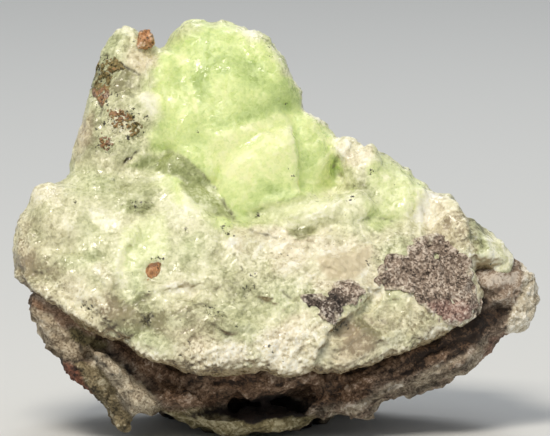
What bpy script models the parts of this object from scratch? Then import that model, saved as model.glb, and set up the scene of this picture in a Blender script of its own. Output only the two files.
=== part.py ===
"""Native copper in prehnite on basalt: a hand specimen about 80 mm wide.

The stone is drawn as it is looked at: on a plane leaned back from upright, with x to the right,
w up that plane and d straight into it, all in millimetres. lay_down() turns that drawing into the
standing specimen, with +Z up and its feet on the ground.
"""

import math

import bmesh
import bpy
import numpy as np
from mathutils import Vector

MM = 0.001
LEAN = math.radians(8.0)
FOOT_DEPTH = 6.0
"""The depth at which the drawing's own zero line touches the ground."""
SHIFT_X = -0.12
SHIFT_Y = -8.03
"""These put the middle of the standing specimen over the origin."""

GAP = 0.3
"""Left between two pieces that touch."""
VOXEL = 0.8
STONE_SHARE = 0.1
"""Share of the stone's faces that is kept when its skin is made coarser."""


def clear_scene():
    for thing in list(bpy.data.objects):
        bpy.data.objects.remove(thing)


def new_collection(name):
    made = bpy.data.collections.new(name)
    bpy.context.scene.collection.children.link(made)
    return made


def principled(name, colour, roughness, metallic=0.0):
    made = bpy.data.materials.new(name)
    made.use_nodes = True
    shader = made.node_tree.nodes["Principled BSDF"]
    shader.inputs["Base Color"].default_value = (*colour, 1.0)
    shader.inputs["Roughness"].default_value = roughness
    shader.inputs["Metallic"].default_value = metallic
    return made


# From the drawing to the standing specimen and back

INTO = np.array([0.0, math.cos(LEAN), -math.sin(LEAN)])
UP = np.array([0.0, math.sin(LEAN), math.cos(LEAN)])
SHIFT = np.array([SHIFT_X, SHIFT_Y, 0.0])


def lay_down(drawn):
    """Points of the standing specimen, in metres, for rows of x, w and d."""
    drawn = np.asarray(drawn, float)
    x, w, d = drawn[..., 0:1], drawn[..., 1:2], drawn[..., 2:3]
    return (x * (1.0, 0.0, 0.0) + w * UP + (d - FOOT_DEPTH) * INTO + SHIFT) * MM


def pick_up(points):
    """Rows of x, w and d for points of the standing specimen."""
    points = np.asarray(points, float) / MM - SHIFT
    return np.stack([points[..., 0], points @ UP, points @ INTO + FOOT_DEPTH], axis=-1)


# Shapes that the stone is built up from

def reach(outline, centre, angle):
    """How far the outline lies from the centre in one direction: the furthest side that a ray crosses."""
    ray_x, ray_w = math.cos(angle), math.sin(angle)
    furthest = 0.0
    for (ax, aw), (bx, bw) in zip(outline, outline[1:] + outline[:1]):
        ax, aw, bx, bw = ax - centre[0], aw - centre[1], bx - centre[0], bw - centre[1]
        side_x, side_w = bx - ax, bw - aw
        across = ray_x * side_w - ray_w * side_x
        if abs(across) < 1e-9:
            continue
        along_ray = (ax * side_w - aw * side_x) / across
        along_side = (ax * ray_w - aw * ray_x) / across
        if -1e-9 <= along_side <= 1 + 1e-9:
            furthest = max(furthest, along_ray)
    return furthest


def lump(outline, centre, middle, front, back, lean=(0.0, 0.0), squareness=1.0, segments=64):
    """A rounded lump whose edge, seen from the front, is the outline.

    It is a sphere whose equator is pulled out to the outline. The edge lies at depth middle,
    tilted by lean per millimetre, and the lump swells front and back from it. A squareness
    under 1 fills the lump out towards a flat face with a turned edge.
    """
    made = bmesh.new()
    bmesh.ops.create_uvsphere(made, u_segments=segments, v_segments=segments // 2, radius=1.0)
    for vertex in made.verts:
        swell = math.copysign(abs(vertex.co.z) ** squareness, vertex.co.z)
        share = math.hypot(vertex.co.x, vertex.co.y)
        angle = math.atan2(vertex.co.y, vertex.co.x)
        radius = share * reach(outline, centre, angle)
        x = centre[0] + radius * math.cos(angle)
        w = centre[1] + radius * math.sin(angle)
        edge = middle + lean[0] * (x - centre[0]) + lean[1] * (w - centre[1])
        d = edge - swell * (front if swell > 0 else back)
        vertex.co = lay_down((x, w, d))
    return made


def oval(centre, across, up, turn=0.0, corners=24):
    """An oval outline, turned by degrees."""
    turn = math.radians(turn)
    points = []
    for i in range(corners):
        angle = 2 * math.pi * i / corners
        a, b = across * math.cos(angle), up * math.sin(angle)
        x = centre[0] + a * math.cos(turn) - b * math.sin(turn)
        w = centre[1] + a * math.sin(turn) + b * math.cos(turn)
        points.append((x, w))
    return points


def oval_lump(centre, radii, turn=0.0, segments=32):
    """An ellipsoid at (x, w, d) with radii across, up and in depth."""
    outline = oval(centre[:2], radii[0], radii[1], turn)
    return lump(outline, centre[:2], centre[2], radii[2], radii[2], segments=segments)


def block(outline, front, back, narrower=0.0):
    """A straight block with the outline as its front face, each side moved in by narrower."""
    made = bmesh.new()
    corners = [made.verts.new(lay_down((x, w, front))) for x, w in outline]
    face = made.faces.new(corners)
    pulled = bmesh.ops.extrude_face_region(made, geom=[face])
    depth = Vector(INTO * (back - front) * MM)
    moved = [one for one in pulled["geom"] if isinstance(one, bmesh.types.BMVert)]
    bmesh.ops.translate(made, verts=moved, vec=depth)
    bmesh.ops.triangulate(made, faces=made.faces)
    if narrower:
        made.normal_update()
        bmesh.ops.recalc_face_normals(made, faces=made.faces)
        made.normal_update()
        for vertex in made.verts:
            vertex.co -= vertex.normal * vertex.calc_shell_factor() * narrower * MM
    return made


def as_object(name, made, collection):
    """An object from a closed mesh, its faces turned outwards."""
    made.normal_update()
    bmesh.ops.recalc_face_normals(made, faces=made.faces)
    mesh = bpy.data.meshes.new(name)
    made.to_mesh(mesh)
    made.free()
    thing = bpy.data.objects.new(name, mesh)
    collection.objects.link(thing)
    return thing


def joined(lumps):
    """Several closed lumps in one mesh, still crossing each other."""
    whole = bmesh.new()
    for one in lumps:
        one.normal_update()
        bmesh.ops.recalc_face_normals(one, faces=one.faces)
        mesh = bpy.data.meshes.new("lump")
        one.to_mesh(mesh)
        one.free()
        whole.from_mesh(mesh)
        bpy.data.meshes.remove(mesh)
    return whole


def settled(thing):
    """Applies the modifiers, as the viewport shows them."""
    graph = bpy.context.evaluated_depsgraph_get()
    mesh = bpy.data.meshes.new_from_object(thing.evaluated_get(graph))
    thing.modifiers.clear()
    thing.data = mesh
    return thing


def one_skin(thing, voxel):
    """One closed skin over all that the mesh holds."""
    remesh = thing.modifiers.new("Remesh", "REMESH")
    remesh.mode = "VOXEL"
    remesh.voxel_size = voxel * MM
    return settled(thing)


def coarser(thing, share):
    decimate = thing.modifiers.new("Decimate", "DECIMATE")
    decimate.ratio = share
    decimate.use_collapse_triangulate = True
    return settled(thing)


def read_points(mesh, attribute="co"):
    source = mesh.vertices if attribute == "co" else mesh.vertex_normals
    found = np.empty(len(mesh.vertices) * 3)
    source.foreach_get("co" if attribute == "co" else "vector", found)
    return found.reshape(-1, 3)


def write_points(mesh, points):
    mesh.vertices.foreach_set("co", points.ravel())
    mesh.update()


# The outlines of the prehnite, as seen from the front

DOME = [
    (-17.6, 57.4), (-16.2, 60.0), (-14.3, 61.4), (-12.7, 62.4), (-6.5, 62.2), (-4.5, 61.0),
    (-1.9, 58.9), (0.3, 56.8), (2.5, 53.6), (3.6, 51.2), (4.3, 48.4), (5.2, 45.5), (5.6, 41.0),
    (4.5, 36.5), (1.0, 32.0), (-5.0, 30.0), (-11.0, 33.0), (-16.0, 38.0), (-18.5, 45.0), (-18.8, 52.0),
]
DOME_TOP = [
    (-16.8, 60.0), (-15.8, 61.2), (-13.0, 62.9), (-8.1, 63.0), (-4.6, 61.4), (-6.0, 56.9),
    (-9.2, 53.9), (-13.8, 54.6), (-16.8, 56.6),
]
DOME_RIGHT = [
    (-4.6, 61.2), (-0.8, 59.2), (2.0, 55.4), (3.8, 51.6), (4.2, 48.2), (0.8, 47.1), (-2.0, 49.3),
    (-4.6, 53.1), (-5.7, 56.9),
]
DOME_BRIGHT = [
    (-9.2, 35.5), (-8.1, 39.3), (-7.2, 41.6), (-5.4, 43.1), (-3.1, 44.7), (0.8, 47.1), (3.4, 48.0),
    (3.4, 44.7), (3.6, 41.6), (4.5, 39.3), (4.6, 36.7), (2.3, 34.0), (-2.0, 32.5), (-5.4, 32.4),
    (-7.9, 33.7),
]
DOME_SIDE = [
    (3.0, 49.5), (5.4, 48.2), (7.3, 46.9), (9.4, 44.6), (9.8, 41.0), (9.2, 37.5), (7.0, 34.0),
    (3.0, 31.5), (0.0, 34.0), (-0.5, 41.0),
]
CREST = [
    (-17.6, 58.6), (-19.4, 59.3), (-21.4, 60.9), (-23.4, 61.5), (-25.0, 59.9), (-26.2, 56.9),
    (-27.4, 53.3), (-28.3, 50.3), (-29.1, 47.3), (-29.9, 44.3), (-31.0, 39.8), (-29.5, 33.0),
    (-22.0, 31.0), (-14.0, 34.0), (-12.0, 42.0), (-13.5, 50.0), (-15.5, 56.0),
]
FRONT_MASS = [
    (-39.1, 28.0), (-38.4, 32.5), (-36.8, 35.3), (-35.6, 37.5), (-32.2, 37.6), (-29.5, 39.5),
    (-24.0, 40.6), (-19.5, 41.4), (-16.2, 42.9), (-12.5, 40.4), (-9.0, 37.2), (-5.5, 32.8),
    (0.0, 33.2), (8.0, 35.0), (16.0, 34.5), (23.0, 32.5), (28.0, 29.5), (30.5, 25.0), (31.0, 20.5),
    (29.2, 17.4), (24.5, 14.7), (18.7, 12.3), (13.0, 10.1), (10.5, 8.9), (5.5, 9.8), (1.5, 7.6),
    (-2.0, 9.3), (-8.0, 8.5), (-13.5, 9.3), (-18.7, 10.5), (-23.5, 14.2), (-28.0, 16.7),
    (-32.0, 20.8), (-35.8, 22.6), (-38.2, 24.2),
]
NOSE = [
    (-39.3, 28.0), (-38.8, 32.0), (-37.4, 35.0), (-35.8, 37.5), (-32.2, 37.7), (-28.0, 37.2),
    (-24.0, 32.0), (-25.0, 25.0), (-31.0, 20.8), (-36.0, 21.8), (-39.4, 24.2),
]
STEP_BAND = [
    (-2.0, 33.4), (2.0, 34.2), (5.7, 35.4), (9.0, 36.4), (13.0, 36.8), (15.0, 34.0), (13.5, 30.6),
    (8.7, 30.6), (6.3, 30.3), (3.8, 30.6), (0.2, 31.6),
]
RIDGE = [
    (9.0, 38.0), (12.0, 43.2), (15.0, 42.6), (18.0, 41.0), (20.6, 39.5), (23.6, 36.8),
    (25.5, 32.0), (24.0, 26.0), (16.0, 24.0), (8.0, 27.0), (5.5, 33.0),
]
SHOULDER = [
    (22.5, 35.3), (24.7, 36.6), (26.3, 36.7), (27.6, 35.4), (28.7, 33.1), (30.8, 31.2),
    (33.9, 28.8), (35.5, 27.6), (36.8, 25.6), (35.5, 22.5), (31.0, 20.0), (24.0, 22.0), (20.0, 28.0),
]

# The outlines of the basalt

CORE = [
    (-30.5, 11.5), (-20.0, 5.5), (-13.0, 3.8), (-9.2, 4.0), (-3.7, 5.0), (0.9, 6.3), (4.4, 4.2),
    (12.0, 5.0), (24.0, 9.5), (32.5, 15.0), (35.0, 22.0), (28.0, 30.5), (18.0, 34.0), (4.0, 36.5),
    (-14.0, 37.5), (-27.0, 32.5), (-33.0, 23.0),
]
UPPER_SLAB = [
    (-36.9, 20.2), (-36.0, 21.4), (-32.9, 19.8), (-29.2, 16.8), (-27.4, 14.4), (-28.4, 12.2),
    (-30.9, 11.9), (-32.3, 12.4), (-34.2, 14.0), (-34.9, 16.3), (-36.1, 18.1),
]
PALE_SLAB = [
    (-27.4, 12.6), (-25.2, 11.8), (-22.6, 9.2), (-20.3, 6.7), (-18.3, 4.3), (-19.4, 2.7),
    (-21.4, 2.4), (-23.4, 5.2), (-25.6, 8.0),
]
OLIVE_SLAB = [
    (-29.6, 12.6), (-27.5, 10.7), (-25.6, 8.0), (-23.4, 5.2), (-21.4, 2.8), (-20.9, 1.3),
    (-22.3, 0.4), (-24.1, 1.9), (-25.1, 4.3), (-26.5, 6.3), (-28.1, 7.3), (-30.0, 8.0),
    (-31.2, 9.6), (-31.6, 11.2),
]
LEFT_BACKING = [
    (-34.0, 19.0), (-32.0, 12.0), (-26.0, 6.5), (-21.0, 4.0), (-15.0, 5.0), (-12.0, 10.0),
    (-18.0, 16.0), (-27.0, 20.5),
]
RIGHT_LEDGE = [
    (40.0, 20.0), (39.2, 17.1), (36.8, 15.6), (34.1, 14.5), (32.2, 12.2), (30.0, 10.1), (27.0, 8.2),
    (24.0, 6.8), (21.0, 5.4), (18.3, 4.5), (15.8, 3.2), (13.5, 1.6), (11.2, 2.0), (7.9, 1.9),
    (5.5, 2.6), (4.0, 4.5), (6.0, 8.0), (15.0, 12.5), (24.0, 15.5), (29.5, 19.5), (31.5, 24.0),
    (37.2, 26.4), (39.0, 25.0), (40.0, 22.3),
]
FOOT = [
    (5.6, 1.7), (3.5, 0.8), (0.7, 0.2), (-3.0, -0.5), (-7.5, -0.4), (-11.2, 0.4), (-14.5, 1.7),
    (-17.4, 3.4), (-12.4, 3.3), (-5.0, 3.3), (4.7, 3.3), (6.4, 2.6),
]

# The outlines of the fragments of basalt that lie in the prehnite

LARGE_FRAGMENT = [
    (15.0, 23.3), (15.6, 24.8), (16.5, 26.6), (17.7, 27.2), (19.4, 27.2), (21.0, 29.4),
    (24.6, 29.7), (26.5, 28.6), (28.6, 26.0), (29.9, 22.9), (29.8, 20.4), (28.6, 18.0),
    (26.0, 17.2), (24.2, 17.7), (22.9, 19.0), (20.8, 20.8), (21.4, 22.0), (16.8, 22.5),
]
SMALL_FRAGMENT = [
    (3.8, 20.5), (5.4, 21.3), (8.1, 21.7), (10.4, 23.3), (12.2, 23.4), (14.2, 21.4), (12.2, 19.7),
    (10.7, 18.2), (8.9, 16.8), (7.6, 17.1), (5.7, 18.5), (4.3, 19.3),
]


def prehnite_lumps():
    return [
        lump(DOME, (-6.5, 46.5), 8.0, 8.0, 9.0),
        lump(DOME_TOP, (-10.5, 58.0), 8.0, 4.5, 5.0),
        lump(DOME_RIGHT, (-1.0, 53.5), 6.5, 5.0, 6.0),
        lump(DOME_BRIGHT, (-1.5, 40.0), 3.0, 5.0, 5.0, squareness=0.7),
        lump(DOME_SIDE, (4.5, 39.5), 6.5, 5.5, 7.0),
        oval_lump((-13.5, 47.0, 4.0), (4.5, 6.5, 4.0), turn=15.0),
        oval_lump((-12.5, 40.5, 2.5), (4.5, 3.5, 3.5)),
        lump(CREST, (-21.5, 46.0), 7.0, 5.5, 7.0, lean=(0.1, 0.1)),
        oval_lump((-17.5, 51.5, 3.5), (3.5, 7.0, 2.6), turn=-12.0),
        lump(FRONT_MASS, (-3.0, 23.0), -1.5, 6.5, 15.0, lean=(0.06, 0.42), squareness=0.8, segments=96),
        lump(NOSE, (-32.0, 30.0), 1.0, 6.5, 10.0),
        lump(STEP_BAND, (6.0, 33.2), 1.0, 4.0, 5.0, squareness=0.6),
        lump(RIDGE, (16.0, 33.0), 7.0, 7.0, 9.0),
        lump(SHOULDER, (29.0, 27.5), 6.0, 7.0, 10.0),
        oval_lump((10.9, 42.4, 5.0), (2.4, 2.7, 3.0)),
        oval_lump((13.4, 40.5, 3.5), (2.9, 3.1, 3.0)),
    ]


def basalt_lumps():
    return [
        lump(CORE, (0.0, 20.0), 15.0, 15.0, 19.0, squareness=0.75, segments=96),
        lump(LEFT_BACKING, (-24.0, 12.0), 6.0, 4.5, 12.0),
        lump(UPPER_SLAB, (-32.5, 16.0), 3.0, 3.5, 8.0),
        lump(PALE_SLAB, (-22.8, 7.6), 2.0, 3.0, 7.0),
        lump(OLIVE_SLAB, (-27.0, 7.0), 4.0, 3.5, 7.0),
        lump(RIGHT_LEDGE, (24.0, 12.5), 3.0, 5.0, 12.0, lean=(0.1, 0.2)),
        lump(FOOT, (-5.0, 1.9), 9.0, 5.5, 14.0, squareness=0.8),
        oval_lump((-6.0, 5.6, 21.0), (12.0, 5.2, 9.0)),
        oval_lump((-12.0, 8.5, 25.0), (7.5, 7.5, 7.0)),
        oval_lump((11.0, 9.0, 25.0), (7.5, 8.0, 7.0)),
    ]


# Relief on the skin. A path is drawn on the front, and a height is towards the eye

DOME_MIDDLE = (-5.0, 47.0)
DOME_RADIUS = 15.0
DOME_CHIPS = 0.45
CRUST_CHIPS = 0.75
ROCK_CHIPS = 1.0
"""How deep the chips are on the smooth dome, on the rest of the crust and on the rock below."""
LOW_ROCK = 9.0
LOW_TRIM = 0.55
"""Below this height the skin is drawn in, because its chips stand out past the outlines."""

LEDGES = [
    # path, with the higher side on its left; rise; how far it carries
    ([(8.7, 30.8), (6.3, 30.3), (3.8, 29.8), (2.1, 31.1), (0.2, 31.8), (-2.0, 32.3)], 0.5, 2.5),
    ([(-9.5, 33.2), (-11.6, 34.6), (-13.6, 37.0), (-14.8, 38.9)], 0.45, 2.0),
    ([(-0.5, 20.2), (-3.5, 21.7), (-5.5, 25.7), (-8.1, 32.1)], -0.45, 3.0),
    ([(-2.4, 17.1), (-7.5, 17.9), (-10.7, 19.9), (-14.0, 20.6)], 0.55, 3.0),
    ([(11.5, 18.4), (8.9, 16.1), (6.7, 13.2), (6.1, 11.2), (4.1, 9.5)], -0.8, 4.0),
    ([(15.5, 15.6), (13.3, 16.8), (11.5, 18.0)], 0.5, 2.0),
    ([(-26.2, 26.0), (-28.5, 27.2), (-34.3, 27.5), (-35.6, 29.1)], 0.4, 2.0),
    ([(-23.0, 13.0), (-28.3, 17.9), (-32.7, 21.6), (-36.6, 23.7), (-39.5, 24.7)], 0.6, 2.0),
    ([(-21.7, 28.5), (-22.8, 27.2), (-23.6, 23.1)], -0.5, 2.5),
    ([(-11.6, 22.9), (-14.2, 22.6), (-18.5, 21.4)], -0.45, 2.0),
    ([(14.8, 28.9), (11.9, 27.7), (6.7, 26.3), (1.0, 26.4)], 0.45, 3.0),
    ([(24.0, 36.6), (27.7, 35.5), (28.9, 32.6), (29.4, 28.2)], -0.5, 2.5),
]
GROOVES = [
    # path, half width, depth
    ([(-17.6, 43.1), (-13.0, 41.3), (-8.0, 35.3), (-6.3, 32.9), (-2.6, 33.2)], 0.9, 0.9),
    ([(-2.6, 33.2), (2.3, 34.4), (7.8, 37.0), (9.2, 39.8), (8.8, 42.8), (7.4, 46.5)], 0.8, 0.8),
    ([(12.5, 32.9), (15.6, 32.3), (18.5, 32.1)], 0.5, 0.4),
    ([(29.8, 22.5), (32.0, 21.0), (33.0, 19.4), (35.8, 19.3)], 0.8, 1.6),
    ([(32.6, 18.8), (34.6, 18.6), (34.0, 16.4), (32.6, 15.8)], 1.1, 1.2),
    ([(34.6, 14.8), (29.4, 9.9), (22.3, 6.7), (18.5, 5.4), (14.5, 4.7), (11.8, 3.4)], 0.7, 0.8),
    ([(-28.2, 12.0), (-25.4, 8.6), (-21.9, 4.4)], 0.8, 0.9),
    ([(-22.5, 41.0), (-20.7, 42.8)], 0.5, 0.5),
    ([(18.0, 40.5), (18.6, 36.0), (18.3, 33.0)], 0.5, 0.35),
    ([(20.5, 39.0), (21.0, 34.0), (20.6, 30.0)], 0.5, 0.35),
    ([(22.6, 37.5), (23.2, 33.0), (22.6, 29.5)], 0.5, 0.35),
    ([(-18.8, 57.0), (-19.6, 52.0), (-19.0, 46.0)], 0.8, 0.6),
]
PITS = [
    # middle, radii, depth
    ((-28.2, 15.2), (2.0, 1.3), 1.2),
    ((-24.7, 12.3), (1.0, 0.7), 1.0),
    ((-21.9, 9.6), (0.9, 1.3), 1.2),
    ((-18.6, 24.6), (2.6, 2.4), 0.7),
    ((-20.8, 34.6), (2.4, 1.0), 0.7),
    ((5.0, 30.6), (2.2, 0.7), 0.8),
    ((-26.0, 53.4), (1.4, 3.2), 0.5),
    ((9.3, 40.7), (0.8, 1.4), 1.0),
]


def from_path(points, path):
    """Distance to a path drawn on the front, and a side: +1 on the path's left and -1 on its right."""
    best = np.full(len(points), np.inf)
    side = np.zeros(len(points))
    for start, end in zip(np.array(path), np.array(path[1:])):
        run = end - start
        along = np.clip((points - start) @ run / (run @ run), 0, 1)
        off = points - start - along[:, None] * run
        away = np.hypot(off[:, 0], off[:, 1])
        turn = np.sign(run[0] * off[:, 1] - run[1] * off[:, 0])
        side = np.where(away < best, turn, side)
        best = np.minimum(away, best)
    return best, side


def drawn_relief(points):
    """The height of the ledges, grooves and pits at each point of the front."""
    height = np.zeros(len(points))
    for path, rise, carry in LEDGES:
        away, side = from_path(points, path)
        height += rise * side * np.exp(-((away / carry) ** 2))
    for path, half_width, depth in GROOVES:
        away, _ = from_path(points, path)
        height -= depth * np.exp(-((away / half_width) ** 2))
    for middle, radii, depth in PITS:
        off = (points - middle) / radii
        height -= depth * np.exp(-(off**2).sum(axis=1))
    return height


def scattered(cells, seed):
    """Three even random numbers from 0 to 1 for each whole-numbered cell: its numbers mixed and wrapped."""
    x, y, z = (cells[..., i].astype(np.int64).astype(np.uint64) for i in range(3))
    mixed = x * np.uint64(73856093) ^ y * np.uint64(19349663) ^ z * np.uint64(83492791)
    mixed ^= np.uint64(seed * 2654435761)
    for _ in range(2):
        mixed ^= mixed >> np.uint64(17)
        mixed *= np.uint64(0x9E3779B97F4A7C15)
    shifts = np.array([3, 23, 43], np.uint64)
    return ((mixed[..., None] >> shifts) & np.uint64(0xFFFFF)) / float(0xFFFFF)


def shards(points, size, seed, soft=0.12):
    """Height of a skin of flat chips.

    Space is shared out between scattered seeds, one to each cube of the given size. Each seed
    tilts the skin round it its own way, and neighbours blend over a narrow border.
    """
    scaled = points / size
    home = np.floor(scaled)
    nearest = np.full(len(points), np.inf)
    second = np.full(len(points), np.inf)
    height = np.zeros(len(points))
    other = np.zeros(len(points))
    for step in np.ndindex(3, 3, 3):
        cell = home + np.array(step) - 1
        off = scaled - cell - scattered(cell, seed)
        away = (off**2).sum(axis=1) ** 0.5
        tilt = ((scattered(cell, seed + 1) * 2 - 1) * off).sum(axis=1)
        tilt += scattered(cell, seed + 2)[:, 0] - 0.5
        first = away < nearest
        between = ~first & (away < second)
        other = np.where(first, height, np.where(between, tilt, other))
        second = np.where(first, nearest, np.where(between, away, second))
        height = np.where(first, tilt, height)
        nearest = np.where(first, away, nearest)
    share = 0.5 + 0.5 * np.clip((second - nearest) / soft, 0, 1)
    return height * share + other * (1 - share)


def uneven(points, size, seed):
    """Smooth bumps from -1 to 1: random numbers at the corners of cubes, blended between them."""
    scaled = points / size
    home = np.floor(scaled)
    part = scaled - home
    part = part * part * (3 - 2 * part)
    total = np.zeros(len(points))
    for corner in np.ndindex(2, 2, 2):
        weight = np.where(np.array(corner) == 1, part, 1 - part).prod(axis=1)
        total += weight * scattered(home + corner, seed)[:, 0]
    return total * 2 - 1


def behind(drawn, start=9.0, whole=15.0):
    """0 on the front of the stone and 1 on its broken back, with the change between two depths."""
    return np.clip((drawn[:, 2] - start) / (whole - start), 0, 1)


def carve(thing):
    """Moves the skin of the stone: drawn relief on the front, chips and roughness all over."""
    mesh = thing.data
    drawn = pick_up(read_points(mesh))
    normals = read_points(mesh, "normal")
    facing = np.clip(-(normals @ INTO) * 1.6, 0, 1)
    on_dome = np.hypot(drawn[:, 0] - DOME_MIDDLE[0], drawn[:, 1] - DOME_MIDDLE[1]) < DOME_RADIUS
    low = drawn[:, 1] < LOW_ROCK
    chips = np.where(on_dome, DOME_CHIPS, np.where(low, ROCK_CHIPS, CRUST_CHIPS))
    rise = facing * drawn_relief(drawn[:, :2]) - LOW_TRIM * low
    rise += behind(drawn) * (2.6 * shards(drawn, 13.0, 61) + 1.2 * shards(drawn, 6.0, 71))
    rise += chips * (shards(drawn, 5.0, 11) + 0.5 * shards(drawn, 2.6, 21))
    rise += 0.35 * uneven(drawn, 9.0, 31) + 0.2 * uneven(drawn, 3.0, 41)
    write_points(mesh, read_points(mesh) + normals * rise[:, None] * MM)


# Copper

COPPER_GRAINS = {
    # middle x, w, d, then radii across, up and in depth
    "copper_crest": ((-19.3, 59.3, 5.6), (1.3, 1.9, 1.6)),
    "copper_front": ((-18.4, 24.4, -6.6), (1.25, 1.45, 1.3)),
    "copper_upper": ((-26.0, 54.0, 3.6), (1.3, 2.9, 1.3)),
    "copper_middle": ((-22.8, 47.4, 2.0), (1.9, 1.7, 1.3)),
    "copper_low": ((-25.8, 44.1, 1.8), (1.0, 1.1, 1.0)),
}


def copper_lump(place, radii, wider=0.0):
    """A chunky grain: a ball pulled to its radii, with flat chips, grown by wider."""
    made = bmesh.new()
    bmesh.ops.create_icosphere(made, subdivisions=3, radius=1.0)
    directions = np.array([vertex.co for vertex in made.verts])
    drawn = directions * radii
    swell = 1 + 0.28 * shards(drawn + place, 1.3, 51)
    drawn = drawn * swell[:, None] + directions * wider + place
    for vertex, point in zip(made.verts, lay_down(drawn)):
        vertex.co = point
    return made


# Cutting the stone up into its pieces

def as_cutter(thing):
    thing.hide_render = True
    thing.display_type = "WIRE"
    return thing


def cut(thing, *steps):
    """Booleans in turn, each an operation and its cutter, and then only the largest body kept."""
    for operation, cutter in steps:
        boolean = thing.modifiers.new(cutter.name, "BOOLEAN")
        boolean.operation = operation
        boolean.object = cutter
    settled(thing)
    keep_largest(thing)
    return thing


def keep_largest(thing):
    """Removes the crumbs that a cut leaves loose."""
    mesh = bmesh.new()
    mesh.from_mesh(thing.data)
    waiting = set(mesh.verts)
    bodies = []
    while waiting:
        body = [waiting.pop()]
        for vertex in body:
            for edge in vertex.link_edges:
                other = edge.other_vert(vertex)
                if other in waiting:
                    waiting.remove(other)
                    body.append(other)
        bodies.append(body)
    bodies.sort(key=len)
    for body in bodies[:-1]:
        bmesh.ops.delete(mesh, geom=body, context="VERTS")
    bmesh.ops.triangulate(mesh, faces=mesh.faces)
    mesh.to_mesh(thing.data)
    mesh.free()


def copy_of(thing, name, collection):
    made = bpy.data.objects.new(name, thing.data.copy())
    collection.objects.link(made)
    return made


def make_stone(cutters):
    """The undivided stone, with its relief, and a skin coarse enough for solids."""
    stone = as_object("stone", joined(prehnite_lumps() + basalt_lumps()), cutters)
    one_skin(stone, VOXEL)
    carve(stone)
    one_skin(stone, VOXEL)
    coarser(stone, STONE_SHARE)
    return as_cutter(stone)


def make_basalt_room(name, wider, cutters):
    """The room that the basalt takes up, a little outside its lumps, so that it has their whole skin."""
    room = as_object(name, joined(basalt_lumps()), cutters)
    one_skin(room, 2 * VOXEL)
    room_points = read_points(room.data)
    wider_by = 1.2 + 1.5 * behind(pick_up(room_points))
    normals = read_points(room.data, "normal")
    write_points(room.data, room_points + normals * wider_by[:, None] * MM)
    one_skin(room, 2 * VOXEL)
    smooth = room.modifiers.new("Smooth", "SMOOTH")
    smooth.iterations = 5
    coarser(room, 0.05)
    normals = read_points(room.data, "normal")
    write_points(room.data, read_points(room.data) + normals * wider * MM)
    return as_cutter(room)


def main():
    clear_scene()
    parts = new_collection("native_copper")
    cutters = new_collection("cutters")

    stone = make_stone(cutters)
    print(len(stone.data.polygons), "faces on the stone")
    room = make_basalt_room("basalt_room", 0.0, cutters)
    wide_room = make_basalt_room("basalt_room_wide", GAP, cutters)
    ground = bmesh.new()
    bmesh.ops.create_cube(ground, size=0.2)
    bmesh.ops.translate(ground, verts=ground.verts, vec=(0, 0, -0.1))
    ground = as_cutter(as_object("ground", ground, cutters))

    pale_green = principled("prehnite", (0.60, 0.72, 0.38), 0.3)
    grey_brown = principled("basalt", (0.25, 0.20, 0.16), 0.85)
    orange_brown = principled("copper", (0.55, 0.24, 0.12), 0.4, 1.0)

    prehnite_steps = [("DIFFERENCE", wide_room)]
    fragments = {
        "basalt_fragment_large": (LARGE_FRAGMENT, 1.0),
        "basalt_fragment_small": (SMALL_FRAGMENT, -2.5),
    }
    for name, (outline, back) in fragments.items():
        wide = as_cutter(as_object(name + "_pocket", block(outline, -20.0, back), cutters))
        tight = as_cutter(as_object(name + "_form", block(outline, -20.0, back, narrower=GAP), cutters))
        fragment = copy_of(stone, name, parts)
        cut(fragment, ("INTERSECT", tight), ("DIFFERENCE", wide_room))
        fragment.data.materials.append(grey_brown)
        prehnite_steps.append(("DIFFERENCE", wide))
    for name, (place, radii) in COPPER_GRAINS.items():
        grain = as_object(name, copper_lump(place, radii), parts)
        coarser(grain, 0.25)
        grain.data.materials.append(orange_brown)
        socket = as_object(name + "_socket", copper_lump(place, radii, wider=GAP + 0.1), cutters)
        coarser(socket, 0.25)
        prehnite_steps.append(("DIFFERENCE", as_cutter(socket)))

    prehnite = copy_of(stone, "prehnite", parts)
    cut(prehnite, *prehnite_steps)
    prehnite.data.materials.append(pale_green)

    matrix = copy_of(stone, "basalt_matrix", parts)
    cut(matrix, ("INTERSECT", room), ("DIFFERENCE", ground))
    matrix.data.materials.append(grey_brown)

    for thing in parts.objects:
        print(thing.name, len(thing.data.polygons))


main()
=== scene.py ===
# %% [markdown]
# # Native copper in prehnite on basalt
#
# This lesson dresses a mineral specimen about 80 mm wide. Pale green prehnite has grown as a thick
# crust over dark basalt, and small grains of native copper sit in it. Every surface is worked out
# with numpy, so the same few functions give the shapes, the broken skin and the colours.

# %% Load the solids that the visible pieces stand for
import math

import bmesh
import bpy
import numpy as np
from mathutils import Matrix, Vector


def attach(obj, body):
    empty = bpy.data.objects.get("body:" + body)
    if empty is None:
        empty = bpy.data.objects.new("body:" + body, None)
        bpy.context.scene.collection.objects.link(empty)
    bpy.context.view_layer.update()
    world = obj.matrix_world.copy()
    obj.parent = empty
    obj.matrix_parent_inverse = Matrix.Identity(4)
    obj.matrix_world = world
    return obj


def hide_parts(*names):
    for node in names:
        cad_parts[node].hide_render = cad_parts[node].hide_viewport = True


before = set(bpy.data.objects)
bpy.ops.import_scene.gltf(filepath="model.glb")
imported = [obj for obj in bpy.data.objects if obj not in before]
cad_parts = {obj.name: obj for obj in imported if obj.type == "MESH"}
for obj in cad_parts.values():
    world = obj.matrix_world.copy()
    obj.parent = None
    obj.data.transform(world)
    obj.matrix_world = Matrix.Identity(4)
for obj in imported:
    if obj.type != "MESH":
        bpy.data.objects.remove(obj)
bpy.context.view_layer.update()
print("solids:", sorted(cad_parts))

# %% [markdown]
# ## A drawing that leans back
#
# The specimen rests leaning back a little, and it is easiest to describe as it is looked at: x to
# the right, w up the leaning face and d straight into it, in millimetres. Two functions turn this
# drawing into the standing specimen and back, so that every outline can be read off the front.

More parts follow.
